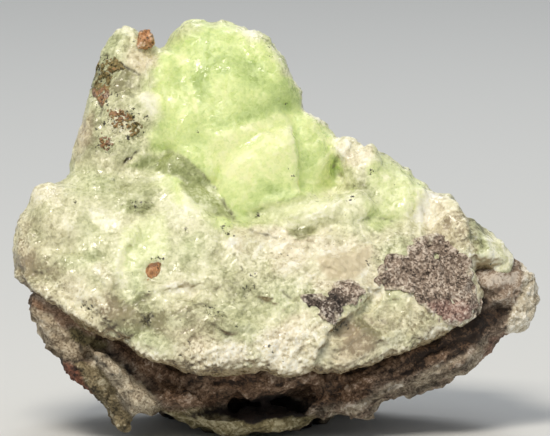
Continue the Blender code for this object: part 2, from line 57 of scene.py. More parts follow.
# %% The drawing frame
MM = 0.001
LEAN = math.radians(8.0)
INTO = np.array([0.0, math.cos(LEAN), -math.sin(LEAN)])
UP = np.array([0.0, math.sin(LEAN), math.cos(LEAN)])
FOOT_DEPTH = 6.0
SHIFT = np.array([-0.12, -8.03, 0.0])


def lay_down(drawn):
    """Standing points in metres: x sideways, plus w times UP, plus d times INTO, moved by SHIFT."""
    drawn = np.asarray(drawn, float)
    x, w, d = drawn[..., 0:1], drawn[..., 1:2], drawn[..., 2:3]
    return (x * (1.0, 0.0, 0.0) + w * UP + (d - FOOT_DEPTH) * INTO + SHIFT) * MM


def pick_up(points):
    """The drawing's x, w and d of standing points."""
    points = np.asarray(points, float) / MM - SHIFT
    return np.stack([points[..., 0], points @ UP, points @ INTO + FOOT_DEPTH], axis=-1)


print("the origin in the drawing:", pick_up((0, 0, 0)).round(2))

# %% [markdown]
# ## The camera
#
# The picture was taken from far away with a long lens, looking a few degrees down, so a 600 mm lens
# more than a metre off gives the same flat perspective. It looks straight into the drawing.

# %% Camera
VIEW_CENTRE = (0.0, 32.7, 0.0)
CAMERA_DISTANCE = 1.375

camera = bpy.data.objects.new("camera", bpy.data.cameras.new("camera"))
bpy.context.scene.collection.objects.link(camera)
bpy.context.scene.camera = camera
camera.data.lens = 600
camera.data.sensor_width = 36
camera.data.clip_start = 0.05
camera.data.clip_end = 20
camera.location = Vector(lay_down(VIEW_CENTRE) - INTO * CAMERA_DISTANCE)
camera.rotation_euler = Vector(INTO).to_track_quat("-Z", "Y").to_euler()
print("camera at", [round(v, 3) for v in camera.location])

# %% [markdown]
# ## Lumps
#
# A crust like this grows as knobs that run into each other. One knob is a ball whose equator is
# pulled out to an outline on the front. It takes two parameters: the angle round the outline, and
# the polar angle from the front pole to the back pole. Any outline will do as long as its centre
# sees all of it.

# %% The lump function
def reach(outline, centre, angles):
    """How far the outline lies from the centre at each angle: where a ray crosses a side, the furthest."""
    corners = np.array(outline, float) - centre
    sides = np.roll(corners, -1, axis=0) - corners
    ray_x, ray_w = np.cos(angles)[:, None], np.sin(angles)[:, None]
    across = ray_x * sides[:, 1] - ray_w * sides[:, 0]
    across = np.where(np.abs(across) < 1e-9, 1e-9, across)
    along_ray = (corners[:, 0] * sides[:, 1] - corners[:, 1] * sides[:, 0]) / across
    along_side = (corners[:, 0] * ray_w - corners[:, 1] * ray_x) / across
    crosses = (along_side > -1e-6) & (along_side < 1 + 1e-6)
    return np.where(crosses, along_ray, 0.0).max(axis=1)


def closed_grid(grid):
    """Points and faces of a closed surface. The grid's first and last rows are single points."""
    rows, columns = grid.shape[:2]
    points = np.concatenate([grid[0, :1], grid[1:-1].reshape(-1, 3), grid[-1, :1]])
    index = 1 + np.arange((rows - 2) * columns).reshape(rows - 2, columns)
    following = np.roll(index, -1, axis=1)
    quads = np.stack([index[:-1], following[:-1], following[1:], index[1:]], axis=-1)
    last = np.full(columns, len(points) - 1)
    front = np.stack([np.zeros(columns, int), following[0], index[0]], axis=-1)
    back = np.stack([last, index[-1], following[-1]], axis=-1)
    return points, quads.reshape(-1, 4).tolist() + front.tolist() + back.tolist()


def lump(outline, centre, middle, front, back, lean=(0.0, 0.0), squareness=1.0, columns=96):
    """A rounded lump.

    At polar angle t the outline is scaled by the sine of t, and the skin stands off the edge's
    depth by the cosine of t, raised to the squareness, times front or back. The edge's depth is
    middle, plus lean per millimetre from the centre.
    """
    angles = np.arange(columns) * 2 * np.pi / columns
    polar = np.linspace(0, np.pi, columns // 2 + 1)[:, None]
    radius = np.sin(polar) * reach(outline, centre, angles)
    x = centre[0] + radius * np.cos(angles)
    w = centre[1] + radius * np.sin(angles)
    swell = np.sign(np.cos(polar)) * np.abs(np.cos(polar)) ** squareness
    depth = middle + lean[0] * (x - centre[0]) + lean[1] * (w - centre[1])
    depth = depth - swell * np.where(swell > 0, front, back)
    return closed_grid(np.stack([x, w, depth], axis=-1))


def oval(centre, radii, turn=0.0):
    """A turned oval outline of 24 corners: cosine and sine times the radii."""
    angles = np.arange(24) * np.pi / 12
    turn = math.radians(turn)
    a, b = radii[0] * np.cos(angles), radii[1] * np.sin(angles)
    x = centre[0] + a * math.cos(turn) - b * math.sin(turn)
    w = centre[1] + a * math.sin(turn) + b * math.cos(turn)
    return np.stack([x, w], axis=-1)


def oval_lump(centre, radii, turn=0.0):
    """An ellipsoid: a lump with an oval outline."""
    outline = oval(centre[:2], radii, turn)
    return lump(outline, centre[:2], centre[2], radii[2], radii[2], columns=48)


# %% [markdown]
# ## The outlines of the crust
#
# Each outline follows one knob of the prehnite as seen from the front: the glowing dome with its
# lobes, the crest on its left, the wide front mass with the blunt nose, and the ridge and shoulder
# that fall away to the right.

# %% Prehnite outlines
DOME = [
    (-17.6, 57.4), (-16.2, 60.0), (-14.3, 61.4), (-12.7, 62.4), (-6.5, 62.2), (-4.5, 61.0),
    (-1.9, 58.9), (0.3, 56.8), (2.5, 53.6), (3.6, 51.2), (4.3, 48.4), (5.2, 45.5), (5.6, 41.0),
    (4.5, 36.5), (1.0, 32.0), (-5.0, 30.0), (-11.0, 33.0), (-16.0, 38.0), (-18.5, 45.0), (-18.8, 52.0),
]
DOME_TOP = [
    (-16.8, 60.0), (-15.8, 61.2), (-13.0, 62.9), (-8.1, 63.0), (-4.6, 61.4), (-6.0, 56.9),
    (-9.2, 53.9), (-13.8, 54.6), (-16.8, 56.6),
]
DOME_RIGHT = [
    (-4.6, 61.2), (-0.8, 59.2), (2.0, 55.4), (3.8, 51.6), (4.2, 48.2), (0.8, 47.1), (-2.0, 49.3),
    (-4.6, 53.1), (-5.7, 56.9),
]
DOME_BRIGHT = [
    (-9.2, 35.5), (-8.1, 39.3), (-7.2, 41.6), (-5.4, 43.1), (-3.1, 44.7), (0.4, 46.8), (2.4, 46.9),
    (3.3, 44.9), (3.7, 41.6), (4.5, 39.3), (4.6, 36.7), (2.3, 34.0), (-2.0, 32.5), (-5.4, 32.4),
    (-7.9, 33.7),
]
DOME_SIDE = [
    (3.0, 49.5), (5.4, 48.2), (7.3, 46.9), (9.4, 44.6), (9.8, 41.0), (9.2, 37.5), (7.0, 34.0),
    (3.0, 31.5), (0.0, 34.0), (-0.5, 41.0),
]
CREST = [
    (-17.6, 58.8), (-18.6, 59.5), (-20.2, 60.2), (-21.6, 61.2), (-23.4, 61.6), (-25.0, 59.9),
    (-26.2, 56.9),
    (-27.4, 53.3), (-28.3, 50.3), (-29.1, 47.3), (-29.9, 44.3), (-31.0, 39.8), (-29.5, 33.0),
    (-22.0, 31.0), (-14.0, 34.0), (-12.0, 42.0), (-13.5, 50.0), (-15.5, 56.0),
]
FRONT_MASS = [
    (-39.1, 28.0), (-38.4, 32.5), (-36.8, 35.3), (-35.6, 37.5), (-32.2, 37.6), (-29.5, 39.5),
    (-24.0, 40.6), (-19.5, 41.4), (-16.2, 42.9), (-12.5, 40.4), (-9.0, 37.2), (-5.5, 32.8),
    (0.0, 33.2), (8.0, 35.0), (16.0, 34.5), (23.0, 32.5), (28.0, 29.5), (30.5, 25.0), (31.0, 20.5),
    (29.2, 17.4), (24.5, 14.9), (18.7, 12.6), (13.0, 10.4), (10.5, 9.6), (5.5, 10.2), (1.5, 8.2),
    (-2.0, 9.7), (-8.0, 9.3), (-13.5, 9.9), (-18.7, 11.3), (-23.5, 14.0), (-28.2, 16.4),
    (-32.2, 19.2), (-35.6, 21.8), (-38.2, 24.2),
]
NOSE = [
    (-39.3, 28.0), (-38.8, 32.0), (-37.4, 35.0), (-35.8, 37.5), (-32.2, 37.7), (-28.0, 37.2),
    (-24.0, 32.0), (-25.0, 25.0), (-31.4, 19.4), (-35.8, 21.5), (-39.4, 24.2),
]
STEP_BAND = [
    (-2.0, 33.4), (2.0, 34.2), (5.7, 35.4), (9.0, 36.4), (13.0, 36.8), (15.0, 34.0), (13.5, 30.6),
    (8.7, 30.6), (6.3, 30.3), (3.8, 30.6), (0.2, 31.6),
]
RIDGE = [
    (9.0, 38.0), (12.0, 43.2), (15.0, 42.6), (18.0, 41.0), (20.6, 39.5), (23.6, 36.8),
    (25.5, 32.0), (24.0, 26.0), (16.0, 24.0), (8.0, 27.0), (5.5, 33.0),
]
SHOULDER = [
    (22.5, 35.3), (24.7, 36.6), (26.3, 36.7), (27.6, 35.4), (28.7, 33.1), (30.8, 31.2),
    (33.9, 28.8), (35.5, 27.6), (36.4, 26.4), (34.6, 25.4), (32.2, 24.8), (30.3, 24.4), (28.5, 21.0),
    (24.0, 22.0), (20.0, 28.0),
]
prehnite_lumps = [
    lump(DOME, (-6.5, 46.5), 8.0, 8.0, 9.0),
    lump(DOME_TOP, (-10.5, 58.0), 8.0, 4.5, 5.0),
    lump(DOME_RIGHT, (-1.0, 53.5), 6.5, 5.0, 6.0),
    lump(DOME_BRIGHT, (-1.5, 40.0), 3.0, 4.6, 5.0, squareness=0.55),
    lump(DOME_SIDE, (4.5, 39.5), 6.5, 5.5, 7.0),
    oval_lump((-13.5, 47.0, 4.0), (4.5, 6.5, 4.0), turn=15.0),
    oval_lump((-12.5, 40.5, 2.5), (4.5, 3.5, 3.5)),
    lump(CREST, (-21.5, 46.0), 7.0, 5.5, 7.0, lean=(0.1, 0.1)),
    oval_lump((-17.5, 51.5, 3.5), (3.5, 7.0, 2.6), turn=-12.0),
    lump(FRONT_MASS, (-3.0, 23.0), -1.5, 6.5, 15.0, lean=(0.06, 0.42), squareness=0.8, columns=192),
    lump(NOSE, (-32.0, 30.0), 1.0, 6.5, 10.0),
    lump(STEP_BAND, (6.0, 33.2), 1.0, 4.0, 5.0, squareness=0.6),
    lump(RIDGE, (16.0, 33.0), 7.0, 7.0, 9.0),
    lump(SHOULDER, (29.0, 27.5), 6.0, 7.0, 10.0),
    oval_lump((10.9, 42.4, 5.0), (2.4, 2.7, 3.0)),
    oval_lump((13.4, 40.5, 3.5), (2.9, 3.1, 3.0)),
    oval_lump((0.0, 34.6, 3.6), (9.0, 3.2, 5.4), turn=8.0),
    oval_lump((32.8, 25.7, 4.6), (3.2, 1.5, 3.4), turn=-25.0),
]
print(len(prehnite_lumps), "lumps of prehnite")

# %% [markdown]
# ## The outlines of the rock
#
# The basalt is a broken core behind and under the crust. Slabs of it stick out at the lower left,
# a ledge runs down the right, and a lens-shaped foot carries the specimen.

# %% Basalt outlines
CORE = [
    (-30.5, 11.5), (-20.0, 5.5), (-13.0, 3.8), (-9.2, 4.0), (-3.7, 5.0), (0.9, 6.3), (4.4, 4.2),
    (12.0, 5.0), (24.0, 9.5), (32.5, 15.0), (35.0, 22.0), (28.0, 30.5), (18.0, 34.0), (4.0, 36.5),
    (-14.0, 37.5), (-27.0, 32.5), (-33.0, 23.0),
]
UPPER_SLAB = [
    (-36.9, 20.6), (-36.0, 22.0), (-32.9, 20.6), (-28.9, 17.8), (-26.6, 15.2), (-28.0, 12.4),
    (-30.9, 11.9), (-32.3, 12.4), (-34.2, 14.0), (-34.9, 16.3), (-36.1, 18.1),
]
PALE_SLAB = [
    (-27.4, 12.8), (-25.0, 12.6), (-21.8, 9.9), (-18.9, 7.2), (-16.6, 4.4), (-18.4, 2.8),
    (-21.4, 2.4), (-23.4, 5.2), (-25.6, 8.0),
]
OLIVE_SLAB = [
    (-29.6, 12.6), (-27.5, 10.7), (-25.6, 8.0), (-23.4, 5.2), (-21.4, 2.8), (-20.9, 1.3),
    (-22.3, 0.4), (-24.1, 1.9), (-25.1, 4.3), (-26.5, 6.3), (-28.1, 7.3), (-30.0, 8.0),
    (-31.2, 9.6), (-31.6, 11.2),
]
LEFT_BACKING = [
    (-36.2, 21.6), (-34.4, 16.0), (-32.0, 12.0), (-26.0, 6.5), (-21.0, 4.0), (-15.0, 5.0),
    (-12.0, 10.0), (-18.0, 16.0), (-27.0, 21.5), (-33.0, 23.5),
]
RIGHT_LEDGE = [
    (40.0, 20.0), (39.2, 17.1), (36.8, 15.6), (34.1, 14.5), (32.2, 12.2), (30.0, 10.1), (27.0, 8.2),
    (24.0, 6.8), (21.0, 5.4), (18.3, 4.5), (15.8, 3.2), (13.5, 1.6), (11.2, 2.0), (7.9, 1.9),
    (5.5, 2.6), (4.0, 4.5), (6.0, 8.0), (15.0, 12.5), (24.0, 15.5), (28.0, 19.5), (28.5, 25.0),
    (31.5, 27.6), (34.5, 27.9), (36.9, 26.7), (38.9, 25.0), (40.0, 22.3),
]
FOOT = [
    (5.6, 1.7), (3.5, 0.8), (0.7, 0.2), (-3.0, -0.5), (-7.5, -0.4), (-11.2, 0.4), (-14.5, 1.7),
    (-17.4, 3.8), (-12.4, 4.1), (-5.0, 3.9), (4.7, 3.4), (6.4, 2.6),
]
basalt_lumps = [
    lump(CORE, (0.0, 20.0), 15.0, 15.0, 19.0, squareness=0.75, columns=192),
    lump(LEFT_BACKING, (-24.0, 12.0), 3.5, 4.5, 14.0),
    lump(UPPER_SLAB, (-32.0, 16.4), -2.2, 2.4, 12.2, lean=(0.0, -0.2), squareness=0.5),
    lump(PALE_SLAB, (-22.8, 7.6), -3.8, 2.2, 13.4, lean=(0.1, -0.3), squareness=0.5),
    lump(OLIVE_SLAB, (-27.0, 7.0), -0.4, 3.0, 11.0, lean=(0.1, -0.2), squareness=0.6),
    lump(RIGHT_LEDGE, (24.0, 12.5), 3.0, 5.0, 12.0, lean=(0.08, 0.1)),
    lump(FOOT, (-5.0, 1.9), 5.5, 6.5, 17.0, squareness=0.8),
    oval_lump((-6.0, 5.6, 21.0), (12.0, 5.2, 9.0)),
    oval_lump((-12.0, 8.5, 25.0), (7.5, 7.5, 7.0)),
    oval_lump((11.0, 9.0, 25.0), (7.5, 8.0, 7.0)),
    oval_lump((4.0, 6.4, 18.0), (8.5, 5.6, 9.0)),
    oval_lump((-4.0, 8.6, 5.0), (15.0, 3.2, 9.0)),
    oval_lump((-14.0, 6.0, 4.0), (5.0, 2.8, 8.0)),
    oval_lump((-8.4, 6.1, 6.0), (3.6, 1.9, 6.0)),
    oval_lump((33.8, 22.4, 5.2), (3.8, 2.8, 3.8), turn=-10.0),
]
print(len(basalt_lumps), "lumps of basalt")

# %% [markdown]
# ## One skin over the lumps
#
# The lumps still cross each other. A voxel remesh lays one closed skin over them all, as the real
# crust has, with even faces that the relief can push about. Faces of half a millimetre are enough
# on the back, and the side that is looked at gets its faces split later.

# %% Skins
SKIN_VOXEL = 0.5


def mesh_object(name, points, faces):
    """An object at the origin, whose mesh holds these points in metres."""
    mesh = bpy.data.meshes.new(name)
    mesh.from_pydata(points.tolist(), [], faces)
    mesh.update()
    thing = bpy.data.objects.new(name, mesh)
    bpy.context.scene.collection.objects.link(thing)
    return thing


def lumps_object(name, lumps):
    """All the lumps in one mesh, each with its faces numbered after those before it."""
    start, all_points, all_faces = 0, [], []
    for points, faces in lumps:
        all_points.append(points)
        all_faces += [[corner + start for corner in face] for face in faces]
        start += len(points)
    return mesh_object(name, lay_down(np.concatenate(all_points)), all_faces)


def one_skin(thing, voxel):
    """Replaces the mesh with one closed skin, its faces about voxel millimetres wide."""
    remesh = thing.modifiers.new("one skin", "REMESH")
    remesh.mode = "VOXEL"
    remesh.voxel_size = voxel * MM
    graph = bpy.context.evaluated_depsgraph_get()
    mesh = bpy.data.meshes.new_from_object(thing.evaluated_get(graph))
    thing.modifiers.clear()
    thing.data = mesh


def read_points(mesh):
    found = np.empty(len(mesh.vertices) * 3)
    mesh.vertices.foreach_get("co", found)
    return found.reshape(-1, 3)


def read_normals(mesh):
    found = np.empty(len(mesh.vertices) * 3)
    mesh.vertex_normals.foreach_get("vector", found)
    return found.reshape(-1, 3)


def push(mesh, rise):
    """Moves each point along its normal by its rise in millimetres."""
    points = read_points(mesh) + read_normals(mesh) * rise[:, None] * MM
    mesh.vertices.foreach_set("co", points.ravel())
    mesh.update()


prehnite = lumps_object("prehnite_crust", prehnite_lumps)
basalt = lumps_object("basalt_rock", basalt_lumps)
for stone in (prehnite, basalt):
    one_skin(stone, SKIN_VOXEL)
    print(stone.name, len(stone.data.polygons), "faces")

# %% [markdown]
# ## Numbers that look random
#
# Broken stone needs a skin of flat chips and of soft unevenness. Both start from numbers that look
# random but are worked out from whole-numbered cells of space, so each run gives the same stone.

# %% Chips and unevenness
def scattered(cells, seed):
    """Three even numbers from 0 to 1 for each cell: its whole numbers mixed by multiplying and shifting."""
    x, y, z = (cells[..., i].astype(np.int64).astype(np.uint64) for i in range(3))
    mixed = x * np.uint64(73856093) ^ y * np.uint64(19349663) ^ z * np.uint64(83492791)
    mixed ^= np.uint64(seed * 2654435761)
    for _ in range(2):
        mixed ^= mixed >> np.uint64(17)
        mixed *= np.uint64(0x9E3779B97F4A7C15)
    shifts = np.array([3, 23, 43], np.uint64)
    return ((mixed[..., None] >> shifts) & np.uint64(0xFFFFF)) / float(0xFFFFF)


def chips_of(points, size, seed, soft=0.12):
    """A skin of flat chips: its height, how far each point is from its chip's border, and a number per chip.

    Each cube of the given size holds one seed. A point belongs to its nearest seed, which tilts the
    skin its own way, and neighbours blend over a narrow border.
    """
    scaled = points / size
    home = np.floor(scaled)
    nearest = np.full(len(points), np.inf)
    second = np.full(len(points), np.inf)
    height = np.zeros(len(points))
    other = np.zeros(len(points))
    pick = np.zeros(len(points))
    for step in np.ndindex(3, 3, 3):
        cell = home + np.array(step) - 1
        off = scaled - cell - scattered(cell, seed)
        away = (off**2).sum(axis=1) ** 0.5
        tilt = ((scattered(cell, seed + 1) * 2 - 1) * off).sum(axis=1)
        own = scattered(cell, seed + 2)
        tilt += own[:, 0] - 0.5
        first = away < nearest
        between = ~first & (away < second)
        other = np.where(first, height, np.where(between, tilt, other))
        second = np.where(first, nearest, np.where(between, away, second))
        height = np.where(first, tilt, height)
        pick = np.where(first, own[:, 1], pick)
        nearest = np.where(first, away, nearest)
    border = (second - nearest) * size
    share = 0.5 + 0.5 * np.clip((second - nearest) / soft, 0, 1)
    return height * share + other * (1 - share), border, pick


def shards(points, size, seed, soft=0.12):
    """Only the height of a skin of flat chips."""
    return chips_of(points, size, seed, soft)[0]


def stepped(height):
    """A height cut into flat steps of a third: its whole part, and a steep front between."""
    flat = np.floor(height)
    return (flat + np.clip((height - flat - 0.72) / 0.28, 0, 1)) / 3


def uneven(points, size, seed):
    """Smooth bumps from -1 to 1: numbers at the corners of cubes, blended between them."""
    scaled = points / size
    home = np.floor(scaled)
    part = scaled - home
    part = part * part * (3 - 2 * part)
    total = np.zeros(len(points))
    for corner in np.ndindex(2, 2, 2):
        weight = np.where(np.array(corner) == 1, part, 1 - part).prod(axis=1)
        total += weight * scattered(home + corner, seed)[:, 0]
    return total * 2 - 1


def crumbs(points, size, seed):
    """Round grains from 0 to 1: one ball in each cube, highest at its middle and 0 past its edge."""
    scaled = points / size
    home = np.floor(scaled)
    height = np.zeros(len(points))
    for step in np.ndindex(3, 3, 3):
        cell = home + np.array(step) - 1
        off = scaled - cell - scattered(cell, seed)
        radius = 0.35 + 0.4 * scattered(cell, seed + 1)[:, 0]
        height = np.maximum(height, 1 - (off**2).sum(axis=1) / radius**2)
    return height


# %% [markdown]
# ## The relief of the broken face
#
# The real face was broken off its rock. It has steps where flakes came away, cracks, and small
# pits. Each is drawn as a path on the front: a ledge is highest on its left side and drops at the
# path, a groove is a dent along it.

# %% Ledges, grooves and pits
LEDGES = [
    # path, with the higher side on its left; rise; how far it carries
    ([(8.7, 30.8), (6.3, 30.3), (3.8, 29.8), (2.1, 31.1), (0.2, 31.8), (-2.0, 32.3)], 0.5, 2.5),
    ([(-9.5, 33.2), (-11.6, 34.6), (-13.6, 37.0), (-14.8, 38.9)], 0.45, 2.0),
    ([(-0.5, 20.2), (-3.5, 21.7), (-5.5, 25.7), (-8.1, 32.1)], -0.45, 3.0),
    ([(-2.4, 17.1), (-7.5, 17.9), (-10.7, 19.9), (-14.0, 20.6)], 0.55, 3.0),
    ([(11.5, 18.4), (8.9, 16.1), (6.7, 13.2), (6.1, 11.2), (4.1, 9.5)], -0.8, 4.0),
    ([(15.5, 15.6), (13.3, 16.8), (11.5, 18.0)], 0.5, 2.0),
    ([(-26.2, 26.0), (-28.5, 27.2), (-34.3, 27.5), (-35.6, 29.1)], 0.4, 2.0),
    ([(-23.0, 13.0), (-28.3, 17.9), (-32.7, 21.6), (-36.6, 23.7), (-39.5, 24.7)], 0.6, 2.0),
    ([(-21.7, 28.5), (-22.8, 27.2), (-23.6, 23.1)], -0.5, 2.5),
    ([(-11.6, 22.9), (-14.2, 22.6), (-18.5, 21.4)], -0.45, 2.0),
    ([(14.8, 28.9), (11.9, 27.7), (6.7, 26.3), (1.0, 26.4)], 0.45, 3.0),
    ([(24.0, 36.6), (27.7, 35.5), (28.9, 32.6), (29.4, 28.2)], -0.5, 2.5),
    ([(3.9, 37.0), (3.5, 39.8), (3.2, 41.6), (2.9, 44.0), (2.6, 46.8), (1.8, 48.4)], 0.45, 1.2),
    ([(1.8, 48.4), (-0.6, 48.0), (-4.0, 46.6), (-8.4, 45.3)], 0.3, 1.4),
    ([(-6.4, 33.2), (-8.5, 35.3), (-11.0, 38.5), (-13.5, 41.2)], -0.4, 1.2),
]
GROOVES = [
    # path, half width, depth
    ([(-17.6, 43.1), (-13.0, 41.3), (-8.0, 35.3), (-6.3, 32.9), (-2.6, 33.2)], 0.7, 0.6),
    ([(-2.6, 33.2), (2.3, 34.4), (7.8, 37.0), (9.2, 39.8), (8.8, 42.8), (7.4, 46.5)], 0.7, 0.5),
    ([(12.5, 32.9), (15.6, 32.3), (18.5, 32.1)], 0.5, 0.4),
    ([(29.8, 22.5), (32.0, 21.0), (33.0, 19.4), (35.8, 19.3)], 0.8, 1.6),
    ([(32.6, 18.8), (34.6, 18.6), (34.0, 16.4), (32.6, 15.8)], 1.1, 1.2),
    ([(34.6, 14.8), (29.4, 9.9), (22.3, 6.7), (18.5, 5.4), (14.5, 4.7), (11.8, 3.4)], 0.7, 0.8),
    ([(-28.2, 12.0), (-25.4, 8.6), (-21.9, 4.4)], 0.8, 0.9),
    ([(-36.6, 20.4), (-34.0, 18.9), (-31.3, 17.2), (-28.0, 16.0), (-25.5, 14.6)], 0.9, 1.3),
    ([(-28.6, 13.6), (-26.2, 12.6), (-24.4, 11.6), (-22.0, 9.2), (-19.6, 8.0)], 0.6, 0.9),
    ([(-38.6, 24.3), (-36.0, 23.3), (-33.0, 21.3), (-28.5, 19.0), (-24.8, 17.0)], 0.35, 0.3),
    ([(-22.5, 41.0), (-20.7, 42.8)], 0.5, 0.5),
    ([(18.0, 40.5), (18.6, 36.0), (18.3, 33.0)], 0.5, 0.35),
    ([(20.5, 39.0), (21.0, 34.0), (20.6, 30.0)], 0.5, 0.35),
    ([(22.6, 37.5), (23.2, 33.0), (22.6, 29.5)], 0.5, 0.35),
    ([(-18.8, 57.0), (-19.6, 52.0), (-19.0, 46.0)], 0.8, 0.6),
]
PITS = [
    # middle, radii, depth
    ((-28.2, 15.2), (2.0, 1.3), 1.2),
    ((-24.7, 12.3), (1.0, 0.7), 1.0),
    ((-21.9, 9.6), (0.9, 1.3), 1.2),
    ((-18.6, 24.6), (2.6, 2.4), 0.7),
    ((-20.8, 34.6), (2.4, 1.0), 0.7),
    ((5.0, 30.6), (2.2, 0.7), 0.8),
    ((-26.0, 53.4), (1.4, 3.2), 0.5),
    ((9.3, 40.7), (0.8, 1.4), 1.0),
]


def from_path(points, path):
    """Distance to a path, and a side: +1 on its left and -1 on its right."""
    best = np.full(len(points), np.inf)
    side = np.zeros(len(points))
    for start, end in zip(np.array(path), np.array(path[1:])):
        run = end - start
        along = np.clip((points - start) @ run / (run @ run), 0, 1)
        off = points - start - along[:, None] * run
        away = np.hypot(off[:, 0], off[:, 1])
        turn = np.sign(run[0] * off[:, 1] - run[1] * off[:, 0])
        side = np.where(away < best, turn, side)
        best = np.minimum(away, best)
    return best, side


def ovals(points, rows):
    """The sum of soft ovals: each adds its amount at its middle and falls off as a bell."""
    total = np.zeros(len(points))
    for x, w, across, up, turn, amount in rows:
        turn = math.radians(turn)
        off = points - (x, w)
        a = off[:, 0] * math.cos(turn) + off[:, 1] * math.sin(turn)
        b = off[:, 1] * math.cos(turn) - off[:, 0] * math.sin(turn)
        total += amount * np.exp(-(((a / across) ** 2 + (b / up) ** 2) ** 1.5))
    return total


def drawn_relief(points):
    """The sum of the ledges, grooves and pits at each point of the front."""
    height = np.zeros(len(points))
    for path, rise, carry in LEDGES:
        away, side = from_path(points, path)
        height += rise * side * np.exp(-((away / carry) ** 2))
    for path, half_width, depth in GROOVES:
        away, _ = from_path(points, path)
        height -= depth * np.exp(-((away / half_width) ** 2))
    for middle, radii, depth in PITS:
        off = (points - middle) / radii
        height -= depth * np.exp(-(off**2).sum(axis=1))
    return height


# %% [markdown]
# ## Carving
#
# The skin moves along its normals. The drawn relief only belongs to the front, so it fades where
# the skin turns away. Chips of 5 and 2.6 mm cover all of it, gentler on the dome, and the broken
# back has larger ones, with steps where it split along its layers. After this a second skin evens
# out the faces again.

# %% Carve both stones
DOME_MIDDLE = (-5.0, 47.0)
DOME_RADIUS = 15.0
LOW_ROCK = 9.0
CALM_SPOTS = [
    # middle x and w, half sizes, turn, how calm the break is
    (-28.5, 28.5, 8.5, 7.5, 0, 0.8),
    (-17.5, 29.0, 5.0, 5.5, 0, 0.7),
    (-12.5, 37.0, 5.0, 3.0, -45, 0.7),
    (-12.5, 28.0, 4.0, 4.5, 0, 0.5),
]


def behind(drawn, start=9.0, whole=15.0):
    """0 on the front of the stone and 1 on its broken back."""
    return np.clip((drawn[:, 2] - start) / (whole - start), 0, 1)


def facing(mesh):
    """1 where the skin looks out of the drawing, falling to 0 where it turns away."""
    return np.clip(-(read_normals(mesh) @ INTO) * 1.6, 0, 1)


def carve(mesh):
    drawn = pick_up(read_points(mesh))
    on_dome = np.hypot(drawn[:, 0] - DOME_MIDDLE[0], drawn[:, 1] - DOME_MIDDLE[1]) < DOME_RADIUS
    low = drawn[:, 1] < LOW_ROCK
    chips = np.where(on_dome, 0.3, np.where(low, 1.0, 0.5)) * (1 - 0.5 * ovals(drawn[:, :2], CALM_SPOTS))
    rise = facing(mesh) * drawn_relief(drawn[:, :2]) - 0.55 * low
    rise += behind(drawn) * (2.6 * shards(drawn, 13.0, 61) + 1.2 * shards(drawn, 6.0, 71))
    rise += chips * (shards(drawn, 5.0, 11) + 0.5 * shards(drawn, 2.6, 21))
    rise += 0.35 * uneven(drawn, 9.0, 31) + 0.3 * chips * uneven(drawn, 3.0, 41)
    rise += np.where(on_dome, 0.2, 0.3) * stepped(3 * uneven(drawn * (0.8, 1.3, 1.0), 7.0, 81))
    push(mesh, rise)


def stand_on_floor(mesh):
    """Points under the floor come up to it, as the feet of the real one have worn flat."""
    points = read_points(mesh)
    points[:, 2] = np.maximum(points[:, 2], 0.0)
    mesh.vertices.foreach_set("co", points.ravel())
    mesh.update()


for stone in (prehnite, basalt):
    carve(stone.data)
    one_skin(stone, SKIN_VOXEL)
    print(stone.name, len(stone.data.polygons), "faces after carving")

# %% [markdown]
# ## Finer faces where it is looked at
#
# The front shows flakes of a millimetre, which half-millimetre faces can't hold. Splitting every
# face would pass 200,000 triangles, so only faces that look out of the drawing, and that aren't
# hidden behind others, are split. What hides what is read from a map of the nearest depth.

# %% Split the faces of the front
MAP_LOW = np.array([-44.0, -4.0])
MAP_SIZE = (88, 72)


def depth_map(drawn, cell):
    """The least depth in each square cell of the front, spread one cell outwards over gaps."""
    shape = (int(MAP_SIZE[0] / cell), int(MAP_SIZE[1] / cell))
    where = np.clip(((drawn[:, :2] - MAP_LOW) / cell).astype(int), 0, np.array(shape) - 1)
    nearest = np.full(shape, 99.0)
    np.minimum.at(nearest, (where[:, 0], where[:, 1]), drawn[:, 2])
    for _ in range(2):
        spread = nearest.copy()
        for axis, way in ((0, 1), (0, -1), (1, 1), (1, -1)):
            spread = np.minimum(spread, np.roll(nearest, way, axis))
        nearest = np.where(nearest > 98, spread, nearest)
    return nearest


def depth_at(nearest, cell, places):
    """The map read between the middles of its cells, by mixing the four round each place."""
    scaled = (np.asarray(places) - MAP_LOW) / cell - 0.5
    corner = np.clip(np.floor(scaled).astype(int), 0, np.array(nearest.shape) - 2)
    part = np.clip(scaled - corner, 0, 1)
    i, j = corner[..., 0], corner[..., 1]
    p, q = part[..., 0], part[..., 1]
    lower = nearest[i, j] * (1 - p) + nearest[i + 1, j] * p
    upper = nearest[i, j + 1] * (1 - p) + nearest[i + 1, j + 1] * p
    return lower * (1 - q) + upper * q


def split_front(thing, nearest, slack):
    """Cuts in four each face that looks out of the drawing within slack of the nearest depth."""
    mesh = thing.data
    drawn = pick_up(read_points(mesh))
    cell = MAP_SIZE[0] / nearest.shape[0]
    seen = drawn[:, 2] < depth_at(nearest, cell, drawn[:, :2]) + slack
    seen &= facing(mesh) > 0.38
    work = bmesh.new()
    work.from_mesh(mesh)
    work.verts.ensure_lookup_table()
    edges = [e for e in work.edges if seen[e.verts[0].index] and seen[e.verts[1].index]]
    bmesh.ops.subdivide_edges(work, edges=edges, cuts=1, use_grid_fill=True)
    work.to_mesh(mesh)
    work.free()


both = np.concatenate([pick_up(read_points(stone.data)) for stone in (prehnite, basalt)])
whole_front = depth_map(both, 1.0)
for stone in (prehnite, basalt):
    split_front(stone, whole_front, 0.5)
    stone.data.calc_loop_triangles()
    print(stone.name, len(stone.data.loop_triangles), "triangles")

